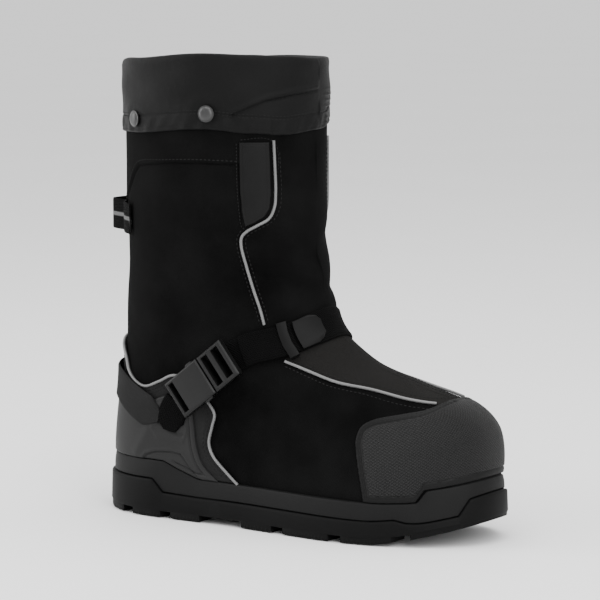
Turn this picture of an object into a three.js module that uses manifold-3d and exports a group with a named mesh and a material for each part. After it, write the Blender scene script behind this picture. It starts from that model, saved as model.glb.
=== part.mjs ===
// Insulated winter overshoe for the right foot: studded sole, buckled instep strap, folded cuff.
// Millimetres, +X to the toe, +Y to the inner side of the foot, +Z up.
import * as THREE from "three";
import { mergeVertices } from "three/addons/utils/BufferGeometryUtils.js";
import Module from "manifold-3d";

const wasm = await Module();
wasm.setup();

// Driving dimensions
const soleLength = 345; // outsole from heel to toe
const ballWidth = 127; // outsole across the ball of the foot
const upperHeight = 352; // floor to the top edge of the shaft
const soleHeight = 45; // floor to the top edge of the midsole at the heel
const upperWall = 3; // insulated fabric with its lining
const gap = 0.35; // clearance between pieces that touch
const toeSpring = 18; // rise of the sole at the toe tip
const toeSwing = 6; // how far the toe tip turns inward
const lateralWaistDip = 3; // the sole narrows by this much under the arch
const medialWaistDip = 7;
const flange = 9.3; // the outsole's edge outside the foot of the upper
const lugFace = 0.9; // the studs stand this much below the lugs
const studRadius = 3;
const studPinRadius = 1.1;
const studHeight = 4.4;
const webbing = 25; // width of the strap
const webbingThickness = 1.5;
const pipingRadius = 1.25;
const panelOutside = 1.5; // outer face of the sewn panels above the upper
const capOutside = 2.3; // outer face of the toe cap above the upper
const counterInside = 1.85; // the heel counter lies on the panel
const counterOutside = 3.8;
const cuffOutside = 2.8;
const buckleLength = 62;
const buckleHalf = 15.5;
const buckleThick = 8.5;
const chamfer = 1.4; // edges of the buckle

// Heights in the sole
const footHeight = 0.379 * soleHeight; // lower edge of the upper
const insoleBottom = 0.296 * soleHeight;
const cupFloor = 0.196 * soleHeight; // floor of the hollow that holds the midsole
const plateBottom = 0.122 * soleHeight; // the lugs hang below this

// The form that the upper is made over, one row for each height. up is a share of the upper's height.
// back, front and the cap lengths are shares of the sole's length, the half widths of the ball width.
const formRows = [
  { up: 0.051, back: 0.029, front: 0.971, capBack: 0.18, capFront: 0.304,
    latHeel: 0.394, latBall: 0.449, medHeel: 0.339, medBall: 0.409, waist: 1, round: 2.2 },
  { up: 0.097, back: 0.025, front: 0.98, capBack: 0.18, capFront: 0.304,
    latHeel: 0.409, latBall: 0.461, medHeel: 0.354, medBall: 0.425, waist: 0.8, round: 2.25 },
  { up: 0.156, back: 0.0275, front: 0.98, capBack: 0.18, capFront: 0.304,
    latHeel: 0.417, latBall: 0.465, medHeel: 0.362, medBall: 0.433, waist: 0.55, round: 2.3 },
  { up: 0.213, back: 0.033, front: 0.968, capBack: 0.18, capFront: 0.313,
    latHeel: 0.417, latBall: 0.457, medHeel: 0.362, medBall: 0.425, waist: 0.35, round: 2.3 },
  { up: 0.261, back: 0.039, front: 0.936, capBack: 0.18, capFront: 0.319,
    latHeel: 0.421, latBall: 0.433, medHeel: 0.37, medBall: 0.402, waist: 0.2, round: 2.25 },
  { up: 0.293, back: 0.042, front: 0.884, capBack: 0.18, capFront: 0.325,
    latHeel: 0.425, latBall: 0.409, medHeel: 0.378, medBall: 0.378, waist: 0.1, round: 2.2 },
  { up: 0.324, back: 0.0435, front: 0.788, capBack: 0.18, capFront: 0.333,
    latHeel: 0.433, latBall: 0.394, medHeel: 0.386, medBall: 0.37, waist: 0, round: 2.15 },
  { up: 0.364, back: 0.045, front: 0.678, capBack: 0.185, capFront: 0.325,
    latHeel: 0.449, latBall: 0.394, medHeel: 0.402, medBall: 0.37, waist: 0, round: 2.1 },
  { up: 0.42, back: 0.047, front: 0.597, capBack: 0.195, capFront: 0.29,
    latHeel: 0.47, latBall: 0.409, medHeel: 0.425, medBall: 0.386, waist: 0, round: 2.05 },
  { up: 0.486, back: 0.049, front: 0.562, capBack: 0.21, capFront: 0.255,
    latHeel: 0.49, latBall: 0.449, medHeel: 0.455, medBall: 0.425, waist: 0, round: 2.02 },
  { up: 0.594, back: 0.051, front: 0.539, capBack: 0.225, capFront: 0.24,
    latHeel: 0.512, latBall: 0.488, medHeel: 0.484, medBall: 0.465, waist: 0, round: 2 },
  { up: 0.739, back: 0.051, front: 0.533, capBack: 0.23, capFront: 0.24,
    latHeel: 0.533, latBall: 0.52, medHeel: 0.506, medBall: 0.496, waist: 0, round: 2 },
  { up: 0.881, back: 0.051, front: 0.532, capBack: 0.23, capFront: 0.24,
    latHeel: 0.541, latBall: 0.53, medHeel: 0.512, medBall: 0.508, waist: 0, round: 2 },
  { up: 1.06, back: 0.051, front: 0.532, capBack: 0.23, capFront: 0.24,
    latHeel: 0.545, latBall: 0.535, medHeel: 0.516, medBall: 0.512, waist: 0, round: 2 },
];

// Side of the sole. along is a share of the sole's length, the heights are shares of the sole's.
const sideRows = [
  { along: 0, top: 1, groove: 0.667 },
  { along: 0.197, top: 1, groove: 0.667 },
  { along: 0.226, top: 0.99, groove: 0.444 },
  { along: 0.267, top: 0.867, groove: 0.433 },
  { along: 0.319, top: 0.74, groove: 0.422 },
  { along: 0.435, top: 0.733, groove: 0.422 },
  { along: 0.58, top: 0.722, groove: 0.413 },
  { along: 0.696, top: 0.711, groove: 0.4 },
  { along: 0.759, top: 0.7, groove: 0.393 },
  { along: 0.826, top: 0.656, groove: 0.389 },
  { along: 0.849, top: 0.636, groove: 0.311 },
  { along: 0.87, top: 0.622, groove: 0.278 },
  { along: 0.887, top: 0.8, groove: 0.267 },
  { along: 0.936, top: 0.778, groove: 0.267 },
  { along: 0.951, top: 0.773, groove: 0.511 },
  { along: 1, top: 0.767, groove: 0.578 },
];

// Lugs under the sole, corners as shares of the sole's length and of the ball width
const lugRows = [
  [[0.832, -0.3], [0.829, -0.55], [0.716, -0.55], [0.722, -0.275], [0.768, -0.245]],
  [[0.687, -0.315], [0.684, -0.565], [0.562, -0.55], [0.565, -0.33], [0.617, -0.26], [0.641, -0.25]],
  [[0.533, -0.26], [0.53, -0.535], [0.446, -0.52], [0.443, -0.268], [0.49, -0.228]],
  [[0.33, -0.205], [0.33, -0.505], [0.246, -0.505], [0.272, -0.25]],
  [[0.243, -0.235], [0.217, -0.505], [0.133, -0.505], [0.162, -0.275], [0.18, -0.213], [0.214, -0.18]],
  [[0.838, 0.52], [0.835, 0.283], [0.78, 0.205], [0.725, 0.26], [0.722, 0.52]],
  [[0.69, 0.535], [0.693, 0.26], [0.641, 0.18], [0.571, 0.213], [0.571, 0.488]],
  [[0.536, 0.472], [0.536, 0.165], [0.496, 0.118], [0.449, 0.157], [0.443, 0.44]],
  [[0.328, 0.44], [0.328, 0.15], [0.307, 0.157], [0.278, 0.197], [0.249, 0.44]],
  [[0.243, 0.205], [0.217, 0.44], [0.133, 0.44], [0.162, 0.236], [0.18, 0.18], [0.214, 0.157]],
  [[0.328, 0.063], [0.328, -0.134], [0.307, -0.11], [0.281, -0.031], [0.304, 0.047]],
  [
    [0.881, 0.55], [0.878, 0.26], [0.89, 0.22], [0.904, 0.173], [0.939, 0.008], [0.925, -0.15],
    [0.872, -0.25], [0.867, -0.55], [1.043, -0.47], [1.043, 0.55],
  ],
  [
    [0.104, -0.55], [0.107, -0.395], [0.128, -0.245], [0.099, -0.142], [0.072, -0.087], [0.096, -0.016],
    [0.119, 0.079], [0.104, 0.236], [0.104, 0.55], [-0.029, 0.55], [-0.029, -0.55],
  ],
];

// Three pointed cleats between the lugs: share of the sole's length, of the ball width, and turn in radians
const cleatRows = [
  [0.919, 0.008, 0], [0.861, 0.126, 0.5], [0.855, -0.102, 0.2], [0.768, -0.055, 0], [0.722, 0.095, 0.6],
  [0.687, -0.142, 0.3], [0.597, 0.024, 0.1], [0.62, -0.134, 0.9], [0.554, -0.118, 0.4], [0.501, -0.063, 0.7],
  [0.252, -0.102, 0.3], [0.194, 0.031, 0.9], [0.136, -0.134, 0.2],
];
const studRows = [
  [0.861, 0.126], [0.812, 0.339], [0.78, -0.347], [0.768, -0.055], [0.722, 0.095], [0.687, -0.142],
  [0.652, 0.299], [0.629, -0.378], [0.597, 0.024], [0.487, -0.339], [0.493, 0.236], [0.296, -0.37],
  [0.29, 0.331], [0.191, -0.315], [0.186, 0.299], [0.136, -0.134],
];

// Lines on the side of the upper, points as shares of the sole's length and of the upper's height
const shaftPipingRows = [
  [0.491, 0.845], [0.493, 0.781], [0.494, 0.732], [0.492, 0.699], [0.483, 0.675], [0.464, 0.66],
  [0.446, 0.649], [0.436, 0.636], [0.435, 0.618], [0.444, 0.574], [0.458, 0.523], [0.472, 0.479],
];
const vampPipingRows = [
  [0.533, 0.368], [0.594, 0.348], [0.657, 0.33], [0.739, 0.317], [0.82, 0.3], [0.874, 0.289],
];
const heelPipingRows = [
  [0.458, 0.068], [0.442, 0.082], [0.399, 0.116], [0.362, 0.151], [0.352, 0.179], [0.36, 0.216],
  [0.367, 0.244], [0.348, 0.27], [0.319, 0.298], [0.285, 0.32], [0.254, 0.322], [0.215, 0.305],
  [0.174, 0.291], [0.139, 0.301], [0.116, 0.321], [0.104, 0.347], [0.078, 0.372], [0.052, 0.388],
  [0.043, 0.391],
];
const toeCapRows = [
  [0.762, 0.062], [0.758, 0.114], [0.746, 0.182], [0.741, 0.222], [0.749, 0.25], [0.771, 0.263],
  [0.797, 0.269], [0.839, 0.275], [0.87, 0.28], [0.887, 0.293], [0.896, 0.318], [0.904, 0.355],
];
const counterRows = [
  [0.4, 0.062], [0.389, 0.082], [0.362, 0.104], [0.332, 0.131], [0.317, 0.169], [0.31, 0.222],
  [0.304, 0.25], [0.281, 0.273], [0.232, 0.276], [0.18, 0.256], [0.13, 0.261], [0.072, 0.281], [0, 0.295],
];
const patchRows = [
  [0.434, 0.841], [0.485, 0.841], [0.487, 0.73], [0.485, 0.696], [0.477, 0.679], [0.459, 0.666],
  [0.443, 0.658], [0.437, 0.69], [0.434, 0.744],
];

// Hem and rim of the cuff, shares of the upper's height. around is 0 at the front and 0.5 at the back.
const cuffRows = [
  { around: 0, hem: 0.864, rim: 1.021 },
  { around: 0.08, hem: 0.854, rim: 1.026 },
  { around: 0.13, hem: 0.858, rim: 1.028 },
  { around: 0.2, hem: 0.867, rim: 1.031 },
  { around: 0.34, hem: 0.854, rim: 1.018 },
  { around: 0.5, hem: 0.849, rim: 1.003 },
  { around: 0.66, hem: 0.858, rim: 1.011 },
  { around: 0.8, hem: 0.869, rim: 1.018 },
  { around: 0.92, hem: 0.876, rim: 1.019 },
  { around: 1, hem: 0.864, rim: 1.021 },
];

// Webbing, centre lines on the side of the upper: share of the sole's length, of the upper's height, and the
// distance of the inner face from the upper. The strap runs from the buckle over the instep to the
// inner side.
const strapOverRows = [
  [0.388, 0.352, 1.3], [0.406, 0.366, 1.1], [0.426, 0.381, 0.95], [0.458, 0.396, 0.9], [0.481, 0.402, 0.75],
  [0.504, 0.408, 0.7], [0.525, 0.415, 0.7], [0.545, 0.425, 0.7], [0.562, 0.435, 0.7], [0.594, 0.447, 0.8],
];
const strapInnerRows = [
  [0.562, 0.435, 0.7], [0.545, 0.425, 0.7], [0.525, 0.415, 0.7], [0.504, 0.408, 0.7], [0.481, 0.402, 0.8],
  [0.435, 0.382, 1.2], [0.388, 0.352, 3.3], [0.342, 0.315, 4.6], [0.299, 0.281, 4.6], [0.261, 0.239, 4.5],
  [0.246, 0.199, 4.5],
];
const anchorRows = [
  [0.248, 0.199, 4.5], [0.252, 0.224, 4.5], [0.262, 0.246, 4.7], [0.275, 0.261, 4.8],
];
const tailRows = [
  [0.436, 0.387, 2.85], [0.458, 0.396, 2.75], [0.481, 0.402, 2.6], [0.504, 0.408, 2.55], [0.525, 0.415, 2.55],
  [0.536, 0.42, 2.55],
];
const endTabRows = [
  [0.54, 0.422, 2.6], [0.552, 0.429, 2.6], [0.562, 0.435, 2.6], [0.572, 0.439, 2.7],
];
const keeperRows = [
  [0.514, 0.41, gap], [0.529, 0.417, gap],
];
const heelStrapRows = [
  [0.174, 0.246, 4.6], [0.139, 0.264, 4.9], [0.104, 0.283, 4.9], [0.078, 0.29, 4.9], [0.055, 0.294, 4.9],
  [0.014, 0.297, 4.9],
];

const clamp = (t) => Math.min(1, Math.max(0, t));
const mix = (a, b, t) => a + (b - a) * t;
const smooth = (t) => clamp(t) ** 2 * (3 - 2 * clamp(t));
const vector = (x, y, z) => new THREE.Vector3(x, y, z);

// Closed solid for joining and cutting
function solidFrom(positions, triangles) {
  const make = (outward) => {
    const vertProperties = new Float32Array(positions);
    const triVerts = new Uint32Array(triangles.flatMap(([a, b, c]) => (outward ? [a, b, c] : [a, c, b])));
    return new wasm.Manifold(new wasm.Mesh({ numProp: 3, vertProperties, triVerts }));
  };
  const made = make(true);
  return made.volume() > 0 ? made : make(false);
}

function trianglesOf(index) {
  const triangles = [];
  for (let i = 0; i < index.length; i += 3) triangles.push([index[i], index[i + 1], index[i + 2]]);
  return triangles.filter(([a, b, c]) => a !== b && b !== c && c !== a);
}

function solidOf(geometry) {
  geometry.deleteAttribute("normal");
  geometry.deleteAttribute("uv");
  const merged = mergeVertices(geometry);
  return solidFrom(merged.attributes.position.array, trianglesOf(merged.index.array));
}

function geometryOf(solid) {
  const { vertProperties, triVerts } = solid.getMesh();
  const geometry = new THREE.BufferGeometry();
  geometry.setAttribute("position", new THREE.BufferAttribute(new Float32Array(vertProperties), 3));
  geometry.setIndex(new THREE.BufferAttribute(new Uint32Array(triVerts), 1));
  return geometry;
}

const joined = (solids) => solids.reduce((all, next) => all.add(next));

// Upright solid over an outline in the plan. grow moves its sides outwards.
function upright(points, low, high, grow = 0) {
  const outline = new THREE.Shape(points.map(([x, y]) => new THREE.Vector2(x, y)));
  const bevelled = grow !== 0;
  const sides = { bevelEnabled: bevelled, bevelThickness: 0, bevelSize: 0, bevelOffset: grow, bevelSegments: 0 };
  return new THREE.ExtrudeGeometry(outline, { depth: high - low, ...sides }).translate(0, 0, low);
}

// The same through the foot, over an outline in the side view. side is -1 for the outer half, 1 for the
// inner half, 0 for both.
function sidePrism(points, side = 0, grow = 0) {
  const reach = 2 * ballWidth;
  const outline = points.map((p) => [p.x, p.z]);
  const prism = upright(outline, side < 0 ? 0 : -reach, side > 0 ? 0 : reach, grow);
  return solidOf(prism.rotateX(Math.PI / 2));
}

// Turned about z, rows of radius and height from the axis back to the axis
function turned(profile, segments) {
  const points = profile.map(([radius, height]) => new THREE.Vector2(radius, height));
  return solidOf(new THREE.LatheGeometry(points, segments).rotateX(Math.PI / 2));
}

// Joins rings of equal length. A closed stack ends where it began, as a hollow wall does. The ends of
// the others are closed by strips across the ring, from its first point to the one opposite.
function loft(rings, closed = false) {
  const n = rings[0].length;
  const triangles = [];
  for (let r = 0; r < (closed ? rings.length : rings.length - 1); r++) {
    const a = r * n;
    const b = ((r + 1) % rings.length) * n;
    for (let i = 0; i < n; i++) {
      const j = (i + 1) % n;
      triangles.push([a + i, a + j, b + j], [a + i, b + j, b + i]);
    }
  }
  if (!closed) {
    const cover = [[0, 1, n - 1]];
    for (let i = 1; n - 2 * i > 1; i++) {
      cover.push([i, i + 1, n - i]);
      if (n - 2 * i > 2) cover.push([i + 1, n - i - 1, n - i]);
    }
    const last = (rings.length - 1) * n;
    for (const [p, q, r] of cover) triangles.push([p, r, q], [last + p, last + q, last + r]);
  }
  return solidFrom(rings.flat().flatMap((p) => [p.x, p.y, p.z]), triangles);
}

// Smooth line through points, some steps for each span
function curveThrough(points, steps) {
  const curve = new THREE.CatmullRomCurve3(points, false, "centripetal");
  return curve.getPoints((points.length - 1) * steps);
}

// Round cord along points
function cord(points, radius) {
  const path = new THREE.CatmullRomCurve3(points, false, "centripetal");
  const corners = Array.from({ length: 5 }, (_, k) => (2 * Math.PI * k) / 5);
  const onCircle = (angle) => new THREE.Vector2(radius * Math.cos(angle), radius * Math.sin(angle));
  const section = corners.map(onCircle);
  const settings = { steps: points.length - 1, bevelEnabled: false, extrudePath: path };
  return solidOf(new THREE.ExtrudeGeometry(new THREE.Shape(section), settings));
}

// Catmull-Rom value of one column at row position v
function column(name, v) {
  const last = formRows.length - 1;
  const i = Math.min(last - 1, Math.max(0, Math.floor(v)));
  const t = v - i;
  const at = (k) => formRows[Math.min(last, Math.max(0, k))][name];
  const [a, b, c, d] = [at(i - 1), at(i), at(i + 1), at(i + 2)];
  return 0.5 * (2 * b + (c - a) * t + (2 * a - 5 * b + 4 * c - d) * t * t + (3 * b - a - 3 * c + d) * t ** 3);
}

// Row position at a height, found by halving
function rowAt(height) {
  let low = 0;
  let high = formRows.length - 1;
  for (let i = 0; i < 26; i++) {
    const middle = (low + high) / 2;
    if (column("up", middle) * upperHeight < height) low = middle;
    else high = middle;
  }
  return (low + high) / 2;
}

// Rise of the sole and of the foot of the upper towards the toe
function lift(x, z) {
  const start = 0.76 * soleLength;
  const along = clamp((x - start) / (soleLength - start));
  const fade = 1 - smooth((z / upperHeight - 0.128) / 0.242);
  return toeSpring * along ** 1.6 * fade;
}

// Half width of the form at x on one side, before the ends round in
function halfWidth(v, x, side) {
  const toBall = smooth((x / soleLength - 0.2) / 0.5);
  const waist = column("waist", v) * Math.exp(-(((x / soleLength - 0.44) / 0.15) ** 2));
  const lateral = mix(column("latHeel", v), column("latBall", v), toBall) * ballWidth;
  if (side < 0) return lateral - lateralWaistDip * waist;
  return mix(column("medHeel", v), column("medBall", v), toBall) * ballWidth - medialWaistDip * waist;
}

// Point of the form before the toe spring. u runs from the toe tip at 0 over the outer side to the heel
// at 0.5 and back over the inner side.
function plainForm(u, height) {
  const v = rowAt(height);
  const side = u <= 0.5 ? -1 : 1;
  const back = column("back", v) * soleLength;
  const front = column("front", v) * soleLength;
  const capBack = column("capBack", v) * soleLength;
  const capFront = column("capFront", v) * soleLength;
  const power = 2 / column("round", v);
  const frontArc = 0.8 * (capFront + column("latBall", v) * ballWidth);
  const backArc = 0.8 * (capBack + column("latHeel", v) * ballWidth);
  const straight = front - back - capFront - capBack;
  const total = frontArc + straight + backArc;
  const s = 2 * Math.min(u, 1 - u) * total;
  let x = front - capFront - (s - frontArc);
  let narrowing = 1;
  if (s < frontArc) {
    const angle = ((s / frontArc) * Math.PI) / 2;
    x = front - capFront * (1 - Math.cos(angle) ** power);
    narrowing = Math.sin(angle) ** power;
  } else if (s > frontArc + straight) {
    const angle = (Math.max(0, total - s) / backArc) * (Math.PI / 2);
    x = back + capBack * (1 - Math.cos(angle) ** power);
    narrowing = Math.sin(angle) ** power;
  }
  const swing = toeSwing * smooth((x / soleLength - 0.7) / 0.3);
  return vector(x, side * narrowing * halfWidth(v, x, side) + swing, height);
}

// Point of the form with the toe spring, d outside it along its normal
function form(u, height, d = 0) {
  const lifted = (a, h) => {
    const p = plainForm(a - Math.floor(a), h);
    p.z += lift(p.x, p.z);
    return p;
  };
  const point = lifted(u, height);
  if (!d) return point;
  const alongStep = lifted(u + 0.004, height).sub(lifted(u - 0.004, height));
  const upStep = lifted(u, height + 0.8).sub(lifted(u, height - 0.8));
  return point.addScaledVector(alongStep.cross(upStep).negate().normalize(), d);
}

// The u at which the form reaches x on one side at a height
function aroundAt(x, side, height) {
  let low = 0;
  let high = 0.5;
  for (let i = 0; i < 26; i++) {
    const middle = (low + high) / 2;
    if (plainForm(middle, height).x > x) low = middle;
    else high = middle;
  }
  return side < 0 ? (low + high) / 2 : 1 - (low + high) / 2;
}

// Every piece that lies on the form shares these lines, so that neighbouring facets stay parallel
const aroundSteps = 42;
const around = Array.from({ length: aroundSteps }, (_, i) => i / aroundSteps);
const levelShares = [
  0.075, 0.115, 0.156, 0.195, 0.229, 0.255, 0.276, 0.294, 0.315, 0.338, 0.366, 0.4, 0.442, 0.505, 0.61, 0.74,
  0.87, 0.99,
];
const levels = [footHeight, ...levelShares.map((share) => share * upperHeight)];

// A place on the facets between the shared lines, d outside them
const facetPoints = new Map();
function facetPoint(i, j, d) {
  const key = `${i} ${j} ${d.toFixed(4)}`;
  if (!facetPoints.has(key)) facetPoints.set(key, form(i / aroundSteps, levels[j], d));
  return facetPoints.get(key).clone();
}
function seat(u, height, d) {
  const place = (u - Math.floor(u)) * aroundSteps;
  const i = Math.floor(place);
  const next = (i + 1) % aroundSteps;
  let j = 0;
  while (j < levels.length - 2 && levels[j + 1] < height) j++;
  const low = facetPoint(i, j, d).lerp(facetPoint(next, j, d), place - i);
  const high = facetPoint(i, j + 1, d).lerp(facetPoint(next, j + 1, d), place - i);
  return low.lerp(high, (height - levels[j]) / (levels[j + 1] - levels[j]));
}

const formRing = (height, d) => around.map((u) => form(u, height, d));
const formSolid = (d, floor = []) => loft([...floor, ...levels].map((height) => formRing(height, d)));
const shell = (inner, outer) => formSolid(outer).subtract(formSolid(inner));

// Places on the upper along a line of the side view
const sidePoint = ([along, up]) => vector(along * soleLength, 0, up * upperHeight);
function routeOn(rows, side, d, steps) {
  return curveThrough(rows.map(sidePoint), steps).map((p) => seat(aroundAt(p.x, side, p.z), p.z, d));
}

// Flat band on the upper. stations hold u, height, off, width and thick.
function band(stations) {
  const rings = stations.map((station, i) => {
    const before = stations[Math.max(0, i - 1)];
    const after = stations[Math.min(stations.length - 1, i + 1)];
    const { u, height, off, width, thick } = station;
    const ahead = seat(after.u, after.height, 0).sub(seat(before.u, before.height, 0));
    const alongStep = seat(u + 0.005, height, 0).sub(seat(u - 0.005, height, 0)).divideScalar(0.01);
    const upStep = seat(u, height + 1, 0).sub(seat(u, height - 1, 0)).divideScalar(2);
    const normal = alongStep.clone().cross(upStep).negate().normalize();
    const across = normal.clone().cross(ahead).normalize();
    const [aa, ab, bb] = [alongStep.dot(alongStep), alongStep.dot(upStep), upStep.dot(upStep)];
    const [ca, cb] = [across.dot(alongStep), across.dot(upStep)];
    const scale = aa * bb - ab * ab;
    const [du, dh] = [(ca * bb - cb * ab) / scale, (cb * aa - ca * ab) / scale];
    const place = (share, d) => seat(u + du * share * width, height + dh * share * width, d);
    const shares = [-0.5, -0.17, 0.17, 0.5];
    const inner = shares.map((share) => place(share, off));
    const outer = shares.map((share) => place(share, off + thick)).reverse();
    return [...inner, ...outer];
  });
  return loft(rings);
}

// Stations along webbing rows, the outer side's first, then the inner side's
function stationsOn(outerRows, steps, width = webbing, thick = webbingThickness, innerRows = []) {
  const placesOn = (rows, side) =>
    rows.map(([along, up, off]) => {
      const height = up * upperHeight;
      return vector(side * aroundAt(along * soleLength, -1, height), off, height);
    });
  const places = [...placesOn(outerRows, 1), ...placesOn(innerRows, -1)];
  return curveThrough(places, steps).map((p) => ({ u: p.x, height: p.z, off: p.y, width, thick }));
}

// The sole's outline has a point at each step of its side
const turnAt = (i) => aroundAt(sideRows[i].along * soleLength, -1, footHeight);
const soleTurns = [1, 2, 10, 11, 12, 13, 14].map(turnAt);
const soleHalf = [...Array.from({ length: 26 }, (_, i) => i / 52), ...soleTurns].sort((a, b) => a - b);
const soleSide = soleHalf.filter((u, i) => i === 0 || u - soleHalf[i - 1] > 0.0025);
const soleAround = [...soleSide, 0.5, ...soleSide.slice(1).reverse().map((u) => 1 - u)];

function sideValue(name, x) {
  const along = clamp(x / soleLength);
  let i = 0;
  while (i < sideRows.length - 2 && sideRows[i + 1].along < along) i++;
  const [a, b] = [sideRows[i], sideRows[i + 1]];
  return mix(a[name], b[name], clamp((along - a.along) / (b.along - a.along))) * soleHeight;
}
const topEdge = (x) => sideValue("top", x);
const groove = (x) => sideValue("groove", x);
const flat = (z) => () => z;

// Ring round the foot, d outside the form's foot, at a height that may depend on x
function soleOutline(heightAt, d) {
  return soleAround.map((u) => {
    const p = plainForm(u, footHeight);
    const step = (a) => plainForm(a - Math.floor(a), footHeight);
    const tangent = step(u + 0.004).sub(step(u - 0.004)).normalize();
    return vector(p.x - tangent.y * d, p.y + tangent.x * d, heightAt(p.x));
  });
}
function soleRing(heightAt, d) {
  const plain = soleOutline(flat(0), 0);
  return soleOutline(heightAt, d).map((p, i) => vector(p.x, p.y, p.z + lift(plain[i].x, p.z)));
}

// Everything below the midsole's top edge, to cut the pieces that end there
function belowTopEdge() {
  const above = (x) => topEdge(x) + 0.5;
  const outside = flange + 6.7;
  return loft([
    soleRing(flat(-5), outside), soleRing(above, outside), soleRing(above, 4.4), soleRing(above, -12),
  ]);
}

const footprintPoint = ([along, across]) => [along * soleLength, across * ballWidth];

// Lugs and cleats, cut by the outline, follow the toe spring
function treadShape() {
  const high = plateBottom + 1;
  const outline = soleOutline(flat(0), flange - 0.4).map((p) => [p.x, p.y]);
  const within = solidOf(upright(outline, 0, high + 1));
  const lugs = lugRows.map((corners) => solidOf(upright(corners.map(footprintPoint), lugFace, high)));
  const cleats = cleatRows.map(([along, across, turn]) => {
    const [x, y] = footprintPoint([along, across]);
    const star = Array.from({ length: 6 }, (_, k) => {
      const angle = (Math.PI / 3) * k + turn;
      const radius = k % 2 ? 3.6 : 11;
      return [x + radius * Math.cos(angle), y + radius * Math.sin(angle)];
    });
    return solidOf(upright(star, lugFace, high));
  });
  const geometry = geometryOf(joined([...lugs, ...cleats]).intersect(within));
  const { array } = geometry.attributes.position;
  for (let i = 0; i < array.length; i += 3) array[i + 2] += lift(array[i], array[i + 2]);
  return solidFrom(array, trianglesOf(geometry.index.array));
}

const studPlaces = studRows.map((row) => {
  const [x, y] = footprintPoint(row);
  return vector(x, y, lift(x, 0));
});
const studShape = turned([
  [0, 0], [studPinRadius, 0], [studPinRadius, 0.5], [studRadius, 0.5], [studRadius, studHeight],
  [0, studHeight],
], 7);

// Pocket for a stud, open below
function pocketShape(place) {
  const height = studHeight + gap + 2;
  const radius = studRadius + gap;
  const geometry = new THREE.CylinderGeometry(radius, radius, height, 7).rotateX(Math.PI / 2);
  return solidOf(geometry.translate(place.x, place.y, place.z + height / 2 - 2));
}

function outsoleShape() {
  const side = loft([
    soleRing(flat(plateBottom), flange - 1.2),
    soleRing(flat(plateBottom + 1.8), flange),
    soleRing((x) => groove(x) - 2, flange - 0.6),
    soleRing(groove, flange - 1.7),
  ]);
  const cup = loft([soleRing(flat(cupFloor), 4.2), soleRing(flat(soleHeight + 15), 4.2)]);
  return side.subtract(cup).add(treadShape()).subtract(joined(studPlaces.map(pocketShape)));
}

function midsoleShape() {
  const side = loft([
    soleRing(flat(cupFloor + gap), 3.85),
    soleRing((x) => groove(x) + 0.6, 3.85),
    soleRing((x) => groove(x) + 0.6, 6.6),
    soleRing((x) => mix(groove(x), topEdge(x), 0.55), 6.3),
    soleRing((x) => topEdge(x) - 1.5, 5.6),
    soleRing(topEdge, 4.4),
    soleRing(topEdge, -12),
  ]);
  return side.subtract(formSolid(gap, [insoleBottom - gap]));
}

const insoleShape = () => loft([formRing(insoleBottom, 0), formRing(footHeight - gap, 0)]);

// The upper and what is sewn or moulded on it
function upperShape() {
  const outer = levels.map((height) => formRing(height, 0));
  const innerLevels = levels.filter((_, i) => i % 2 === 0);
  return loft([...outer, ...innerLevels.map((height) => formRing(height, -upperWall)).reverse()], true);
}

const lowerCorner = (x) => vector(x, 0, 0.03 * upperHeight);
const behind = -0.058 * soleLength; // well behind the heel

function toeCapShape() {
  const ahead = 1.1 * soleLength;
  const seam = curveThrough(toeCapRows.map(sidePoint), 2);
  const edge = [lowerCorner(seam[0].x), ...seam, vector(ahead, 0, 0.4 * upperHeight), lowerCorner(ahead)];
  return shell(gap, capOutside).intersect(sidePrism(edge)).subtract(belowTopEdge());
}

function heelPanelShape() {
  const line = heelPipingRows.map(sidePoint);
  const edge = [lowerCorner(behind), lowerCorner(line[0].x), ...line, vector(behind, 0, line.at(-1).z)];
  const region = sidePrism(edge, 0, -pipingRadius - 0.95);
  return shell(gap, panelOutside).intersect(region).subtract(belowTopEdge());
}

function counterShape() {
  const line = curveThrough(counterRows.map(sidePoint), 2);
  const edge = [lowerCorner(behind), lowerCorner(line[0].x), ...line, vector(behind, 0, line.at(-1).z)];
  return shell(counterInside, counterOutside).intersect(sidePrism(edge)).subtract(belowTopEdge());
}

function patchShape(side) {
  return shell(gap, panelOutside).intersect(sidePrism(patchRows.map(sidePoint), side));
}

const pipingSeat = gap + pipingRadius;
const pipingShape = (rows, side) => cord(routeOn(rows, side, pipingSeat, 2), pipingRadius);

function heelPipingShape() {
  const outer = routeOn(heelPipingRows, -1, pipingSeat + 0.5, 2);
  const inner = routeOn(heelPipingRows, 1, pipingSeat + 0.5, 2).reverse();
  return cord([...outer, ...inner.slice(1)], pipingRadius).subtract(belowTopEdge());
}

// Cuff folded over the collar, rows of its section from the hem up, over the collar and down inside
function cuffValue(name, u) {
  let i = 0;
  while (i < cuffRows.length - 2 && cuffRows[i + 1].around < u) i++;
  const [a, b] = [cuffRows[i], cuffRows[i + 1]];
  return mix(a[name], b[name], smooth((u - a.around) / (b.around - a.around))) * upperHeight;
}
function cuffShape() {
  const collar = levels.at(-1);
  const hem = (u) => cuffValue("hem", u);
  const rim = (u) => cuffValue("rim", u);
  const inside = -upperWall - gap;
  const rows = [
    [hem, gap],
    [(u) => hem(u) - 0.8, cuffOutside - 0.6],
    [(u) => mix(hem(u), rim(u), 0.3), cuffOutside],
    [(u) => rim(u) - 4, cuffOutside - 0.3],
    [rim, -0.2],
    [(u) => rim(u) - 1, inside - 0.85],
    [(u) => rim(u) - 9, inside - 2.05],
    [() => collar - 18, inside - 2.05],
    [() => collar - 18, inside],
    [() => collar + gap, inside],
    [() => collar + gap, gap],
  ];
  return loft(rows.map(([heightAt, d]) => around.map((u) => form(u, heightAt(u), d))), true);
}

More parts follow.
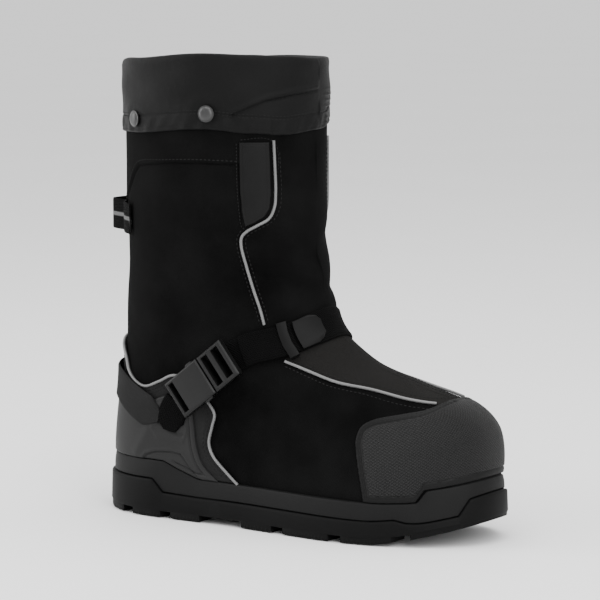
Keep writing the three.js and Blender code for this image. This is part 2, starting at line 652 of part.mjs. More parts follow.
// Loop of webbing behind the shaft, its plan line drawn once and thickened
function pullLoopShape() {
  const height = 0.661 * upperHeight;
  const back = form(0.5, height).x;
  const sewn = [0.39, 0.415, 0.44].map((u) => seat(u, height, gap + 1 + webbingThickness / 2));
  const bend = [vector(back - 10.6, -18, 0), vector(back - 18.6, -12, 0), vector(back - 20.6, -4, 0)];
  const half = [...sewn, ...bend];
  const other = half.map((p) => vector(p.x, -p.y, 0)).reverse();
  const line = curveThrough([...half.map((p) => vector(p.x, p.y, 0)), ...other], 3);
  const edge = (offset) =>
    line.map((p, i) => {
      const ahead = line[Math.min(line.length - 1, i + 1)].clone().sub(line[Math.max(0, i - 1)]).normalize();
      return [p.x - ahead.y * offset, p.y + ahead.x * offset];
    });
  const plan = [...edge(webbingThickness / 2), ...edge(-webbingThickness / 2).reverse()];
  return solidOf(upright(plan, height - webbing / 2, height + webbing / 2 - 1));
}

function backTabShape() {
  const box = new THREE.BoxGeometry(60, 17, 0.105 * upperHeight).translate(10, 0, 0.4785 * upperHeight);
  return shell(gap, 2.8).intersect(solidOf(box));
}

// Buckle in its own frame: s along the strap, t across it, n away from the foot
function plate(s0, s1, n0, n1) {
  const corners = [[s0, -buckleHalf], [s1, -buckleHalf], [s1, buckleHalf], [s0, buckleHalf]];
  const outline = new THREE.Shape(corners.map(([s, t]) => new THREE.Vector2(s, t)));
  const edges = { bevelThickness: chamfer, bevelSize: chamfer, bevelOffset: -chamfer, bevelSegments: 1 };
  const geometry = new THREE.ExtrudeGeometry(outline, { depth: n1 - n0 - 2 * chamfer, ...edges });
  return solidOf(geometry.translate(0, 0, n0 + chamfer));
}
function slotShape(s0, s1) {
  const box = new THREE.BoxGeometry(s1 - s0, webbing + 0.6, 3 * buckleThick);
  return solidOf(box.translate((s0 + s1) / 2, 0, buckleThick / 2));
}

// The two sprung arms of the plug, grow makes the channel that they slide in
const armLine = [
  [38, 8.9], [33, 8.9], [29, 9.6], [24, 11.6], [21.4, 11.8],
  [21.4, 14], [24.5, 17], [30, 17], [32.6, 13], [38, 13],
];
function armsShape(grow = 0) {
  const armFor = (side) => upright(armLine.map(([s, t]) => [s, side * t]), 2.6 - grow, 6 + grow, grow);
  return solidOf(armFor(-1)).add(solidOf(armFor(1)));
}
function socketShape() {
  return plate(0, 0.574 * buckleLength, 0, buckleThick).subtract(slotShape(3.2, 8)).subtract(armsShape(gap));
}
function plugShape() {
  const frame = plate(0.581 * buckleLength, buckleLength, 0, buckleThick - 1);
  return frame.add(armsShape()).subtract(slotShape(40, 46.5)).subtract(slotShape(51, 58.2));
}

function keeperShape() {
  const outer = stationsOn(keeperRows, 2, webbing + 4, 4.9);
  const [first, last] = [outer[0], outer.at(-1)];
  const reach = (t) => ({ ...first, u: mix(first.u, last.u, t), height: mix(first.height, last.height, t) });
  const through = [reach(-0.6), first, ...outer.slice(1, -1), last, reach(1.6)];
  const opening = through.map((station) => ({ ...station, off: -2, width: webbing + 1.2, thick: 6.3 }));
  return band(outer).subtract(band(opening));
}

function endTabShape() {
  const stations = stationsOn(endTabRows, 2, webbing - 1, 2);
  stations.at(-1).width *= 0.55;
  stations.at(-2).width *= 0.86;
  return band(stations);
}

function heelStrapShape() {
  const outer = stationsOn(heelStrapRows, 2, webbing + 1, 1.4);
  const inner = outer.map((station) => ({ ...station, u: 1 - station.u })).reverse();
  return band([...outer, ...inner.slice(1)]);
}

const overshoe = new THREE.Group();
const shoe = new THREE.Group();
const buckle = new THREE.Group();
overshoe.add(shoe);
shoe.add(buckle);

const fabric = { color: 0x18181a, roughness: 0.95, metalness: 0 };
const thinFabric = { color: 0x1c1c1f, roughness: 0.6, metalness: 0 };
const rubber = { color: 0x2c2c2e, roughness: 0.8, metalness: 0 };
const plastic = { color: 0x242426, roughness: 0.45, metalness: 0 };
const strapFabric = { color: 0x101011, roughness: 0.95, metalness: 0 };
const reflective = { color: 0x8c8c8e, roughness: 0.4, metalness: 0 };
const steel = { color: 0xb8b8b8, roughness: 0.3, metalness: 1 };
const blackened = { color: 0x2a2a2c, roughness: 0.5, metalness: 0.6 };

function addPiece(name, solid, finish, parent = shoe) {
  const material = new THREE.MeshStandardMaterial({ ...finish, flatShading: true });
  const mesh = new THREE.Mesh(geometryOf(solid), material);
  mesh.name = name;
  parent.add(mesh);
  return mesh;
}

addPiece("outsole", outsoleShape(), rubber);
addPiece("midsole", midsoleShape(), rubber);
addPiece("insole", insoleShape(), fabric);
addPiece("upper", upperShape(), fabric);
addPiece("toe_cap", toeCapShape(), rubber);
addPiece("heel_panel", heelPanelShape(), fabric);
addPiece("heel_counter", counterShape(), rubber);
addPiece("heel_strap", heelStrapShape(), fabric);
addPiece("cuff", cuffShape(), thinFabric);
addPiece("pull_loop", pullLoopShape(), strapFabric);
addPiece("back_tab", backTabShape(), strapFabric);
addPiece("label_patch_lateral", patchShape(-1), plastic);
addPiece("label_patch_medial", patchShape(1), plastic);
const strapStations = stationsOn(strapOverRows, 2, webbing, webbingThickness, strapInnerRows);
addPiece("instep_strap", band(strapStations), strapFabric);
addPiece("strap_tail", band(stationsOn(tailRows, 3)), strapFabric);
addPiece("strap_end_tab", endTabShape(), plastic);
addPiece("strap_keeper", keeperShape(), plastic);
addPiece("strap_anchor", band(stationsOn(anchorRows, 2)), strapFabric);
addPiece("buckle_socket", socketShape(), plastic, buckle);
addPiece("buckle_plug", plugShape(), plastic, buckle);
addPiece("piping_shaft_lateral", pipingShape(shaftPipingRows, -1), reflective);
addPiece("piping_shaft_medial", pipingShape(shaftPipingRows, 1), reflective);
addPiece("piping_vamp_lateral", pipingShape(vampPipingRows, -1), reflective);
addPiece("piping_vamp_medial", pipingShape(vampPipingRows, 1), reflective);
addPiece("piping_heel", heelPipingShape(), reflective);
studPlaces.forEach((place, i) => {
  const stud = addPiece(`stud_${String(i + 1).padStart(2, "0")}`, studShape, steel);
  stud.position.copy(place);
});

// The buckle lies beside the upper, between two places of the side view
function beside(along, up, away) {
  const [x, z] = [along * soleLength, up * upperHeight];
  return vector(x, seat(aroundAt(x, -1, z), z, 0).y - away, z);
}
const buckleStart = beside(0.281, 0.27, 6.15);
const buckleEnd = beside(0.426, 0.381, 5.1);
const strapWay = buckleEnd.clone().sub(buckleStart).normalize();
const outward = vector(0.05, -1, 0.02);
outward.addScaledVector(strapWay, -strapWay.dot(outward)).normalize();
const acrossWay = outward.clone().cross(strapWay);
buckle.quaternion.setFromRotationMatrix(new THREE.Matrix4().makeBasis(strapWay, acrossWay, outward));
buckle.position.copy(buckleStart);

// Snap fasteners on the cuff
const snapShape = turned([[0, 0], [5.2, 0], [6.3, 0.9], [5.9, 1.9], [3.6, 2.6], [0, 2.6]], 10);
function addSnap(name, along, up) {
  const height = up * upperHeight;
  const u = aroundAt(along * soleLength, -1, height);
  const place = form(u, height, cuffOutside + gap + 0.3);
  const snap = addPiece(name, snapShape, blackened);
  snap.position.copy(place);
  snap.quaternion.setFromUnitVectors(vector(0, 0, 1), place.sub(form(u, height)).normalize());
}
addSnap("snap_rear", 0.174, 0.885);
addSnap("snap_front", 0.37, 0.902);

// The origin is the middle of the bounding box's floor
const bounds = new THREE.Box3().setFromObject(shoe, true);
const middle = bounds.getCenter(vector(0, 0, 0));
shoe.position.set(-middle.x, -middle.y, -bounds.min.z);

export default overshoe;
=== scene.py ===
import math
import bpy
import bmesh
import numpy as np
from mathutils import Matrix, Vector


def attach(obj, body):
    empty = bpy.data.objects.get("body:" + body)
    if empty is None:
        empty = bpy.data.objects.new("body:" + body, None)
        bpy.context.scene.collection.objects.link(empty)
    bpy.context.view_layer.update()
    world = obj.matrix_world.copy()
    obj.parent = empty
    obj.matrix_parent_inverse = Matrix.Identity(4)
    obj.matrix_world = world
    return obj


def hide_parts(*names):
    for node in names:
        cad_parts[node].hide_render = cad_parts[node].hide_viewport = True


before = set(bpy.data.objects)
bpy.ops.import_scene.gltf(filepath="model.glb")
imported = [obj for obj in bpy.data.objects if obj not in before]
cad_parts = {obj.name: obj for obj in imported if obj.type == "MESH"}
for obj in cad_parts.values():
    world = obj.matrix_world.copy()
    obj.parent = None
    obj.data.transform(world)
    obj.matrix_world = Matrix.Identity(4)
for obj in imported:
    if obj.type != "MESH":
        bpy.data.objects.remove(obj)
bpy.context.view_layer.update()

# Lengths here are millimetres on the shoe: x from the heel, y to the inner side, z from the floor.
# u runs round the foot from the toe tip at 0, over the outer side, to the heel at 0.5 and back.
centre = (170.184, -1.841)
soleLength, ballWidth, upperHeight, rimHeight = 345.0, 127.0, 352.0, 45.0
footHeight, insoleBottom, cupFloor, plateBottom = 17.055, 13.32, 8.82, 5.49
flange, upperWall, collar = 9.3, 3.0, 348.5
toeSpring, toeSwing = 18.0, 6.0

# The form under the upper: up, back, front, heel cap, toe cap, outer heel, outer ball, inner heel, inner ball, waist, roundness
formRows = np.array([
    (0.051, 0.029, 0.971, 0.18, 0.304, 0.394, 0.449, 0.339, 0.409, 1.0, 2.2),
    (0.097, 0.025, 0.98, 0.18, 0.304, 0.409, 0.461, 0.354, 0.425, 0.8, 2.25),
    (0.156, 0.0275, 0.98, 0.18, 0.304, 0.417, 0.465, 0.362, 0.433, 0.55, 2.3),
    (0.213, 0.033, 0.968, 0.18, 0.313, 0.417, 0.457, 0.362, 0.425, 0.35, 2.3),
    (0.261, 0.039, 0.936, 0.18, 0.319, 0.421, 0.433, 0.37, 0.402, 0.2, 2.25),
    (0.293, 0.042, 0.884, 0.18, 0.325, 0.425, 0.409, 0.378, 0.378, 0.1, 2.2),
    (0.324, 0.0435, 0.788, 0.18, 0.333, 0.433, 0.394, 0.386, 0.37, 0, 2.15),
    (0.364, 0.045, 0.678, 0.185, 0.325, 0.449, 0.394, 0.402, 0.37, 0, 2.1),
    (0.42, 0.047, 0.597, 0.195, 0.29, 0.47, 0.409, 0.425, 0.386, 0, 2.05),
    (0.486, 0.049, 0.562, 0.21, 0.255, 0.49, 0.449, 0.455, 0.425, 0, 2.02),
    (0.594, 0.051, 0.539, 0.225, 0.24, 0.512, 0.488, 0.484, 0.465, 0, 2),
    (0.739, 0.051, 0.533, 0.23, 0.24, 0.533, 0.52, 0.506, 0.496, 0, 2),
    (0.881, 0.051, 0.532, 0.23, 0.24, 0.541, 0.53, 0.512, 0.508, 0, 2),
    (1.06, 0.051, 0.532, 0.23, 0.24, 0.545, 0.535, 0.516, 0.512, 0, 2),
])
# Side of the sole: x, top edge, groove
sideRows = np.array([
    (0, 45, 30), (68, 45, 30), (78, 44.5, 20), (92, 39, 19.5), (110, 33.3, 19), (150, 33, 19), (200, 32.5, 18.6),
    (240, 32, 18), (262, 31.5, 17.7), (285, 29.5, 17.5), (293, 28.6, 14), (300, 28, 12.5), (306, 36, 12), (323, 35, 12),
    (328, 34.8, 23), (345, 34.5, 26),
])
shaftPiping = [(169.4, 297.3), (170, 275), (170.3, 257.7), (169.6, 246), (166.5, 237.5), (160, 232.5), (154, 228.3),
    (150.6, 224), (150.1, 217.5), (153.3, 202), (158, 184), (162.7, 168.5), (165.4, 157)]
vampPiping = [(184, 129.6), (205, 122.5), (226.5, 116.3), (254.9, 111.7), (283, 105.5), (301.5, 101.6)]
heelPiping = [(158, 24), (152.4, 28.8), (137.7, 41), (124.9, 53.3), (121.3, 63), (124.3, 76), (126.6, 86), (120.2, 95),
    (110, 105), (98.2, 112.5), (87.8, 113.5), (74.2, 107.5), (59.9, 102.5), (48, 106), (40, 113), (36, 122), (27, 131),
    (18, 136.5), (15, 137.5)]
toeSeam = [(263, 22), (261.5, 40), (257.5, 64), (255.6, 78), (258.5, 88), (266, 92.7), (275, 94.8), (289.5, 96.8),
    (300, 98.5), (306, 103), (309, 112), (312, 125)]
counterEdge = [(138, 22), (134.3, 28.8), (124.8, 36.5), (114.5, 46), (109.3, 59.5), (107, 78), (105, 88), (97, 96),
    (80, 97), (62, 90), (45, 92), (25, 99), (0, 104)]
patchEdge = [(149.6, 296), (167.4, 296), (168.2, 257), (167.4, 245), (164.4, 239), (158.4, 234.3), (152.8, 231.6),
    (150.9, 243), (149.9, 262)]
quarterSeam = [(12, 238), (30, 246), (42, 258), (50, 268), (59, 276), (90, 279), (120, 280), (151, 279)]


def smooth(t):
    t = np.clip(t, 0, 1)
    return t * t * (3 - 2 * t)


def rowValues(v):
    last = len(formRows) - 1
    i = np.clip(np.floor(v).astype(int), 0, last - 1)
    t = (v - i)[:, None]
    a, b, c, d = (formRows[np.clip(i + k, 0, last)] for k in (-1, 0, 1, 2))
    return 0.5 * (2 * b + (c - a) * t + (2 * a - 5 * b + 4 * c - d) * t**2 + (3 * b - a - 3 * c + d) * t**3)


fineRows = rowValues(np.linspace(0, len(formRows) - 1, 1301))


def lift(x, z):
    start = 0.76 * soleLength
    along = np.clip((x - start) / (soleLength - start), 0, 1)
    return toeSpring * along**1.6 * (1 - smooth((z / upperHeight - 0.128) / 0.242))


def plainForm(u, h):
    u, h = np.broadcast_arrays(np.mod(np.asarray(u, float), 1), np.asarray(h, float))
    k = [np.interp(h, fineRows[:, 0] * upperHeight, fineRows[:, i]) for i in range(11)]
    side = np.where(u <= 0.5, -1, 1)
    back, front, capBack, capFront = (k[i] * soleLength for i in (1, 2, 3, 4))
    power = 2 / k[10]
    frontArc = 0.8 * (capFront + k[6] * ballWidth)
    backArc = 0.8 * (capBack + k[5] * ballWidth)
    straight = front - back - capFront - capBack
    total = frontArc + straight + backArc
    s = 2 * np.minimum(u, 1 - u) * total
    toeTurn = np.clip(s / frontArc, 0, 1) * math.pi / 2
    heelTurn = np.clip((total - s) / backArc, 0, 1) * math.pi / 2
    x = front - capFront - (s - frontArc)
    x = np.where(s < frontArc, front - capFront * (1 - np.maximum(np.cos(toeTurn), 0)**power), x)
    x = np.where(s > frontArc + straight, back + capBack * (1 - np.maximum(np.cos(heelTurn), 0)**power), x)
    narrow = np.where(s < frontArc, np.sin(toeTurn)**power, np.where(s > frontArc + straight, np.sin(heelTurn)**power, 1))
    toBall = smooth((x / soleLength - 0.2) / 0.5)
    waist = k[9] * np.exp(-((x / soleLength - 0.44) / 0.15)**2)
    outer = (k[5] + (k[6] - k[5]) * toBall) * ballWidth - 3 * waist
    inner = (k[7] + (k[8] - k[7]) * toBall) * ballWidth - 7 * waist
    y = side * narrow * np.where(side < 0, outer, inner) + toeSwing * smooth((x / soleLength - 0.7) / 0.3)
    return np.stack([x, y, h + 0 * x], -1)


def form(u, h, d=0.0):
    def lifted(a, b):
        p = plainForm(a, b)
        p[..., 2] += lift(p[..., 0], p[..., 2])
        return p
    u, h, d = np.broadcast_arrays(np.asarray(u, float), np.asarray(h, float), np.asarray(d, float))
    normal = np.cross(lifted(u - 0.004, h) - lifted(u + 0.004, h), lifted(u, h + 0.8) - lifted(u, h - 0.8))
    normal /= np.linalg.norm(normal, axis=-1, keepdims=True)
    return lifted(u, h) + normal * d[..., None]


def aroundAt(x, h, side=-1):
    x, h = np.broadcast_arrays(np.asarray(x, float), np.asarray(h, float))
    low, high = np.zeros(x.shape), np.full(x.shape, 0.5)
    for _ in range(24):
        middle = (low + high) / 2
        ahead = plainForm(middle, h)[..., 0] > x
        low, high = np.where(ahead, middle, low), np.where(ahead, high, middle)
    return low if side < 0 else 1 - low


def smoothLine(points, steps):
    p = np.array(points, float)
    p = np.vstack([2 * p[0] - p[1], p, 2 * p[-1] - p[-2]])
    knots = np.concatenate([[0], np.cumsum(np.sqrt(np.maximum(np.linalg.norm(np.diff(p, axis=0), axis=1), 1e-6)))])
    out = []
    for i in range(1, len(p) - 2):
        t0, t1, t2, t3 = knots[i - 1:i + 3]
        for t in np.linspace(t1, t2, steps, endpoint=False):
            a = (p[i - 1] * (t1 - t) + p[i] * (t - t0)) / (t1 - t0)
            b = (p[i] * (t2 - t) + p[i + 1] * (t - t1)) / (t2 - t1)
            c = (p[i + 1] * (t3 - t) + p[i + 2] * (t - t2)) / (t3 - t2)
            e = (a * (t2 - t) + b * (t - t0)) / (t2 - t0)
            f = (b * (t3 - t) + c * (t - t1)) / (t3 - t1)
            out.append((e * (t2 - t) + f * (t - t1)) / (t2 - t1))
    return np.array(out + [p[-2]])


# Distance of places in the side view to a line
def lineDistance(x, h, points):
    p = np.array(points, float)
    flatX, flatH = np.ravel(x), np.ravel(h)
    best = np.full(flatX.shape, 1e9)
    for a, b in zip(p[:-1], p[1:]):
        way = b - a
        t = np.clip(((flatX - a[0]) * way[0] + (flatH - a[1]) * way[1]) / max(way @ way, 1e-9), 0, 1)
        best = np.minimum(best, np.hypot(flatX - a[0] - t * way[0], flatH - a[1] - t * way[1]))
    return best.reshape(np.shape(x))


# Depth inside a closed outline of the side view, negative outside it
def depthInside(x, h, points):
    p = np.array(list(points) + [points[0]], float)
    inside = np.zeros(np.shape(x), bool)
    for a, b in zip(p[:-1], p[1:]):
        if a[1] != b[1]:
            crosses = ((a[1] > h) != (b[1] > h)) & (x < (b[0] - a[0]) * (h - a[1]) / (b[1] - a[1]) + a[0])
            inside ^= crosses
    return np.where(inside, 1, -1) * lineDistance(x, h, p)


def bump(distance, width):
    return np.exp(-(distance / width)**2)


def toRow(points):
    p = np.asarray(points, float).reshape(-1, 3)
    return np.column_stack([p[:, 0] - centre[0], p[:, 1] - centre[1], p[:, 2]]) / 1000


def addMesh(name, slot, nodes, points, faces, uv=None, values=None, sharp=38):
    mesh = bpy.data.meshes.new(name)
    mesh.from_pydata(toRow(points).tolist(), [], [tuple(int(i) for i in f) for f in faces])
    corners = np.empty(len(mesh.loops), np.int32)
    mesh.loops.foreach_get("vertex_index", corners)
    if uv is not None:
        layer = mesh.uv_layers.new(name="lay")
        layer.data.foreach_set("uv", (np.asarray(uv, float).reshape(-1, 2)[corners] / 1000).ravel())
    for key, value in (values or {}).items():
        held = mesh.attributes.new(key, "FLOAT", "POINT")
        held.data.foreach_set("value", np.ravel(value).astype(np.float32))
    return placeMesh(name, slot, nodes, mesh, sharp)


def placeMesh(name, slot, nodes, mesh, sharp=38):
    work = bmesh.new()
    work.from_mesh(mesh)
    bmesh.ops.recalc_face_normals(work, faces=work.faces)
    work.to_mesh(mesh)
    work.free()
    mesh.shade_smooth()
    mesh.set_sharp_from_angle(angle=math.radians(sharp))
    piece = bpy.data.objects.new(name, mesh)
    bpy.context.scene.collection.objects.link(piece)
    mesh.materials.append(materials[slot])
    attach(piece, "root")
    if nodes:
        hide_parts(*nodes)
    return piece


def gridFaces(rows, columns, closedRows=False, closedColumns=False):
    i, j = np.meshgrid(np.arange(rows if closedRows else rows - 1), np.arange(columns if closedColumns else columns - 1), indexing="ij")
    a, b = i * columns, (i + 1) % rows * columns
    j2 = (j + 1) % columns
    return np.stack([a + j, a + j2, b + j2, b + j], -1).reshape(-1, 4)


# A sheet of the upper's form inside an outline of the side view, with a rounded edge and a skirt down to the layer below
def addCover(name, slot, nodes, outline, spec, relief=None, values=None):
    u = np.linspace(spec["around"][0], spec["around"][1], spec["columns"])
    h = np.linspace(spec["heights"][0], spec["heights"][1], spec["rows"])
    u, h = np.meshgrid(u, h)
    def depthAt(a, b):
        x = plainForm(a, b)[..., 0]
        depth = depthInside(x, b, outline)
        if spec.get("onSole"):
            depth = np.minimum(depth, b - np.interp(x, sideRows[:, 0], sideRows[:, 1]) - 0.3)
        return depth
    depth = depthAt(u, h)
    inside = depth > 0
    rows, columns = u.shape
    moved, reached = np.stack([u, h], -1), inside.copy()
    for di, dj in ((0, 1), (0, -1), (1, 0), (-1, 0), (1, 1), (1, -1), (-1, 1), (-1, -1)):
        i, j = np.meshgrid(np.arange(rows), np.arange(columns), indexing="ij")
        ni, nj = np.clip(i + di, 0, rows - 1), np.clip(j + dj, 0, columns - 1)
        near = ~reached & inside[ni, nj]
        t = depth[ni, nj] / np.maximum(depth[ni, nj] - depth, 1e-9)
        base = np.stack([u[ni, nj], h[ni, nj]], -1)
        target = base + (np.stack([u, h], -1) - base) * t[..., None]
        moved[near] = target[near]
        reached |= near
    quads = gridFaces(rows, columns)
    flatInside = inside.ravel()
    flatReached = reached.ravel()
    quads = quads[flatInside[quads].any(1) & flatReached[quads].all(1)]
    used, quads = np.unique(quads, return_inverse=True)
    quads = quads.reshape(-1, 4)
    u, h = moved[..., 0].ravel()[used], moved[..., 1].ravel()[used]
    depth = np.where(flatInside[used], depth.ravel()[used], 0)
    edge = spec.get("edge", 1.2)
    t = np.clip(depth / edge, 0, 1)
    rounded = 0.3 + 0.7 * np.sqrt(np.clip(1 - (1 - t)**2, 0, 1))
    x = plainForm(u, h)[:, 0]
    d = spec["inner"] + (spec["outer"] - spec["inner"]) * rounded
    if relief:
        d = d + relief(u, x, h, depth)
    points = form(u, h, d)
    pairs = {}
    for q in quads:
        for a, b in zip(q, np.roll(q, -1)):
            if (b, a) in pairs:
                del pairs[(b, a)]
            else:
                pairs[(a, b)] = True
    border = np.array(list(pairs))
    rim = np.unique(border)
    low = form(u[rim], h[rim], spec["inner"])
    lookup = {int(v): len(used) + k for k, v in enumerate(rim)}
    faces = quads.tolist() + [[int(b), int(a), lookup[int(a)], lookup[int(b)]] for a, b in border]
    uv = np.column_stack([(np.mod(u + 0.5, 1) - 0.5) * spec.get("girth", 760), h])
    extra = {"edgeDepth": np.concatenate([depth, np.zeros(len(rim))])}
    for key, value in (values(u, x, h, depth) if values else {}).items():
        extra[key] = np.concatenate([value, value[rim]])
    return addMesh(name, slot, nodes, np.vstack([points, low]), faces, np.vstack([uv, uv[rim]]), extra)


# Tube along points
def tubeMesh(points, radius, sides=10):
    p = np.asarray(points, float)
    ahead = np.gradient(p, axis=0)
    ahead /= np.linalg.norm(ahead, axis=1, keepdims=True)
    across = np.array([0.3, 0.9, 0.3])
    rings = []
    for place, way in zip(p, ahead):
        across = across - way * (across @ way)
        across = across / np.linalg.norm(across)
        other = np.cross(across, way)
        turn = np.arange(sides) * 2 * math.pi / sides
        rings.append(place + radius * (np.cos(turn)[:, None] * across + np.sin(turn)[:, None] * other))
    faces = gridFaces(len(rings), sides, closedColumns=True).tolist()
    faces += [list(range(sides)), [(len(rings) - 1) * sides + k for k in range(sides)][::-1]]
    return np.vstack(rings), faces


def routeOn(points, side, d, steps=8):
    line = smoothLine(points, steps)
    return form(aroundAt(line[:, 0], line[:, 1], side), line[:, 1], d)


# Webbing on the upper. rows are (x, z, distance of the inner face, side).
def addBand(name, slot, nodes, rows, spec):
    places = []
    for x, z, off, side in rows:
        u = float(aroundAt(x, z))
        places.append((u * 1000 if side <= 0 else -u * 1000, off, z))
    line = smoothLine(places, spec.get("steps", 8))
    if spec.get("mirror"):
        other = line[::-1].copy()
        other[:, 0] = 1000 - other[:, 0]
        line = np.vstack([line, other[1:]])
    u, off, h = line[:, 0] / 1000, line[:, 1], line[:, 2]
    middle = form(u, h)
    ahead = np.gradient(middle, axis=0)
    alongStep = (form(u + 0.004, h) - form(u - 0.004, h)) / 0.008
    upStep = form(u, h + 0.5) - form(u, h - 0.5)
    normal = -np.cross(alongStep, upStep)
    normal /= np.linalg.norm(normal, axis=1, keepdims=True)
    across = np.cross(normal, ahead)
    across /= np.linalg.norm(across, axis=1, keepdims=True)
    aa, ab, bb = (alongStep**2).sum(1), (alongStep * upStep).sum(1), (upStep**2).sum(1)
    ca, cb = (across * alongStep).sum(1), (across * upStep).sum(1)
    scale = aa * bb - ab * ab
    du, dh = (ca * bb - cb * ab) / scale, (cb * aa - ca * ab) / scale
    run = np.concatenate([[0], np.cumsum(np.linalg.norm(np.diff(middle, axis=0), axis=1))])
    width = np.interp(run / run[-1], *spec["widths"]) if "widths" in spec else np.full(len(u), spec["width"])
    thick = spec["thick"]
    shares = np.linspace(-0.5, 0.5, spec.get("across", 17))
    edge = np.clip((0.5 - np.abs(shares)) * spec.get("width", 25) / (0.6 * thick), 0, 1)
    rounded = 0.45 + 0.55 * np.sqrt(1 - (1 - edge)**2)
    rings, uvs = [], []
    for face in (1, 0):
        order = shares if face else shares[::-1]
        for share, r in zip(order, rounded if face else rounded[::-1]):
            lay = off + thick * (0.5 + (r - 0.5 if face else -0.5))
            rings.append(form(u + du * share * width, h + dh * share * width, lay))
            uvs.append(np.column_stack([run, share * width]))
    points, uv = np.stack(rings, 1), np.stack(uvs, 1)
    count = points.shape[1]
    faces = gridFaces(len(u), count, closedColumns=True).tolist()
    faces += [list(range(count)), [(len(u) - 1) * count + k for k in range(count)][::-1]]
    return addMesh(name, slot, nodes, points, faces, uv)


def soleOutline(u, d):
    p = plainForm(u, footHeight)
    tangent = plainForm(u + 0.004, footHeight) - plainForm(u - 0.004, footHeight)
    tangent /= np.linalg.norm(tangent, axis=-1, keepdims=True)
    return p[..., 0], p[..., 0] - tangent[..., 1] * d, p[..., 1] + tangent[..., 0] * d


def soleRing(u, heightAt, d):
    plainX, x, y = soleOutline(u, d)
    z = heightAt(plainX) + 0 * plainX
    return np.stack([x, y, z + lift(plainX, z)], -1)


def topEdge(x):
    return np.interp(x, sideRows[:, 0], sideRows[:, 1])


def groove(x):
    return np.interp(x, sideRows[:, 0], sideRows[:, 2])


# A bevelled copy of a moulded solid
def addMoulded(name, slot, node, width, segments=2, more=()):
    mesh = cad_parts[node].data.copy()
    work = bmesh.new()
    work.from_mesh(mesh)
    bmesh.ops.remove_doubles(work, verts=work.verts, dist=2e-6)
    bmesh.ops.dissolve_limit(work, angle_limit=0.03, verts=work.verts, edges=work.edges)
    work.to_mesh(mesh)
    work.free()
    scratch = bpy.data.objects.new(name + "Draft", mesh)
    bpy.context.scene.collection.objects.link(scratch)
    bevel = scratch.modifiers.new("edges", "BEVEL")
    bevel.width, bevel.segments, bevel.limit_method, bevel.angle_limit = width / 1000, segments, "ANGLE", math.radians(28)
    bevel.harden_normals = False
    ready = bpy.data.meshes.new_from_object(scratch.evaluated_get(bpy.context.evaluated_depsgraph_get()))
    bpy.data.objects.remove(scratch)
    ready.materials.clear()
    layer = ready.uv_layers.active
    if layer is None:
        ready.uv_layers.new(name="lay")
    return placeMesh(name, slot, [node, *more], ready, 40)


def lathe(profile, segments):
    turn = np.arange(segments) * 2 * math.pi / segments
    rings = np.array([[(r * math.cos(a), r * math.sin(a), z) for a in turn] for r, z in profile])
    faces = gridFaces(len(profile), segments, closedColumns=True).tolist()
    faces += [list(range(segments)), [(len(profile) - 1) * segments + k for k in range(segments)][::-1]]
    return rings.reshape(-1, 3), faces


# Arithmetic on shader values
class Num:
    def __init__(self, paint, socket):
        self.paint, self.socket = paint, socket

    def math(self, operation, *others):
        return self.paint.node("ShaderNodeMath", {"operation": operation}, [self, *others])

    def __add__(self, other): return self.math("ADD", other)
    def __sub__(self, other): return self.math("SUBTRACT", other)
    def __mul__(self, other): return self.math("MULTIPLY", other)
    def __truediv__(self, other): return self.math("DIVIDE", other)
    def __radd__(self, other): return self.math("ADD", other)
    def __rmul__(self, other): return self.math("MULTIPLY", other)
    def __rsub__(self, other): return self.paint.node("ShaderNodeMath", {"operation": "SUBTRACT"}, [other, self])
    def sin(self): return self.math("SINE")
    def clip(self): return self.paint.node("ShaderNodeClamp", {}, [self])
    def abs(self): return self.math("ABSOLUTE")
    def power(self, exponent): return self.math("POWER", exponent)


class Paint:
    def __init__(self, name):
        self.material = bpy.data.materials.new(name)
        self.material.use_nodes = True
        self.tree = self.material.node_tree
        self.shader = self.tree.nodes["Principled BSDF"]

    def node(self, kind, settings, inputs=(), output=0):
        node = self.tree.nodes.new(kind)
        for key, value in settings.items():
            setattr(node, key, value)
        for key, value in (inputs.items() if isinstance(inputs, dict) else enumerate(inputs)):
            self.feed(node.inputs[key], value)
        return Num(self, node.outputs[output])

    def feed(self, socket, value):
        if isinstance(value, Num):
            self.tree.links.new(value.socket, socket)
        else:
            socket.default_value = value

    def lay(self):
        uv = self.node("ShaderNodeUVMap", {"uv_map": "lay"})
        parts = self.tree.nodes.new("ShaderNodeSeparateXYZ")
        self.tree.links.new(uv.socket, parts.inputs[0])
        return Num(self, parts.outputs[0]) * 1000, Num(self, parts.outputs[1]) * 1000

    def place(self):
        held = self.tree.nodes.new("ShaderNodeTexCoord")
        parts = self.tree.nodes.new("ShaderNodeSeparateXYZ")
        self.tree.links.new(held.outputs["Object"], parts.inputs[0])
        self.objectPlace = Num(self, held.outputs["Object"])
        return [Num(self, parts.outputs[i]) * 1000 for i in range(3)]

    def noise(self, scale, detail=3, roughness=0.55):
        held = self.node("ShaderNodeTexCoord", {}, output="Object")
        return self.node("ShaderNodeTexNoise", {}, {"Vector": held, "Scale": scale, "Detail": detail, "Roughness": roughness})

    def attribute(self, name):
        return self.node("ShaderNodeAttribute", {"attribute_name": name}, output="Fac")

    def mix(self, share, a, b):
        node = self.tree.nodes.new("ShaderNodeMix")
        node.data_type = "RGBA"
        self.feed(node.inputs[0], share)
        self.feed(node.inputs[6], a)
        self.feed(node.inputs[7], b)
        return Num(self, node.outputs[2])

    def finish(self, colour, roughness, height=None, depth=0.3, **fixed):
        self.feed(self.shader.inputs["Base Color"], colour)
        self.feed(self.shader.inputs["Roughness"], roughness)
        for key, value in fixed.items():
            self.shader.inputs[key].default_value = value
        if height is not None:
            normal = self.node("ShaderNodeBump", {}, {"Strength": 1.0, "Distance": depth / 1000, "Height": height})
            self.tree.links.new(normal.socket, self.shader.inputs["Normal"])
        return self.material


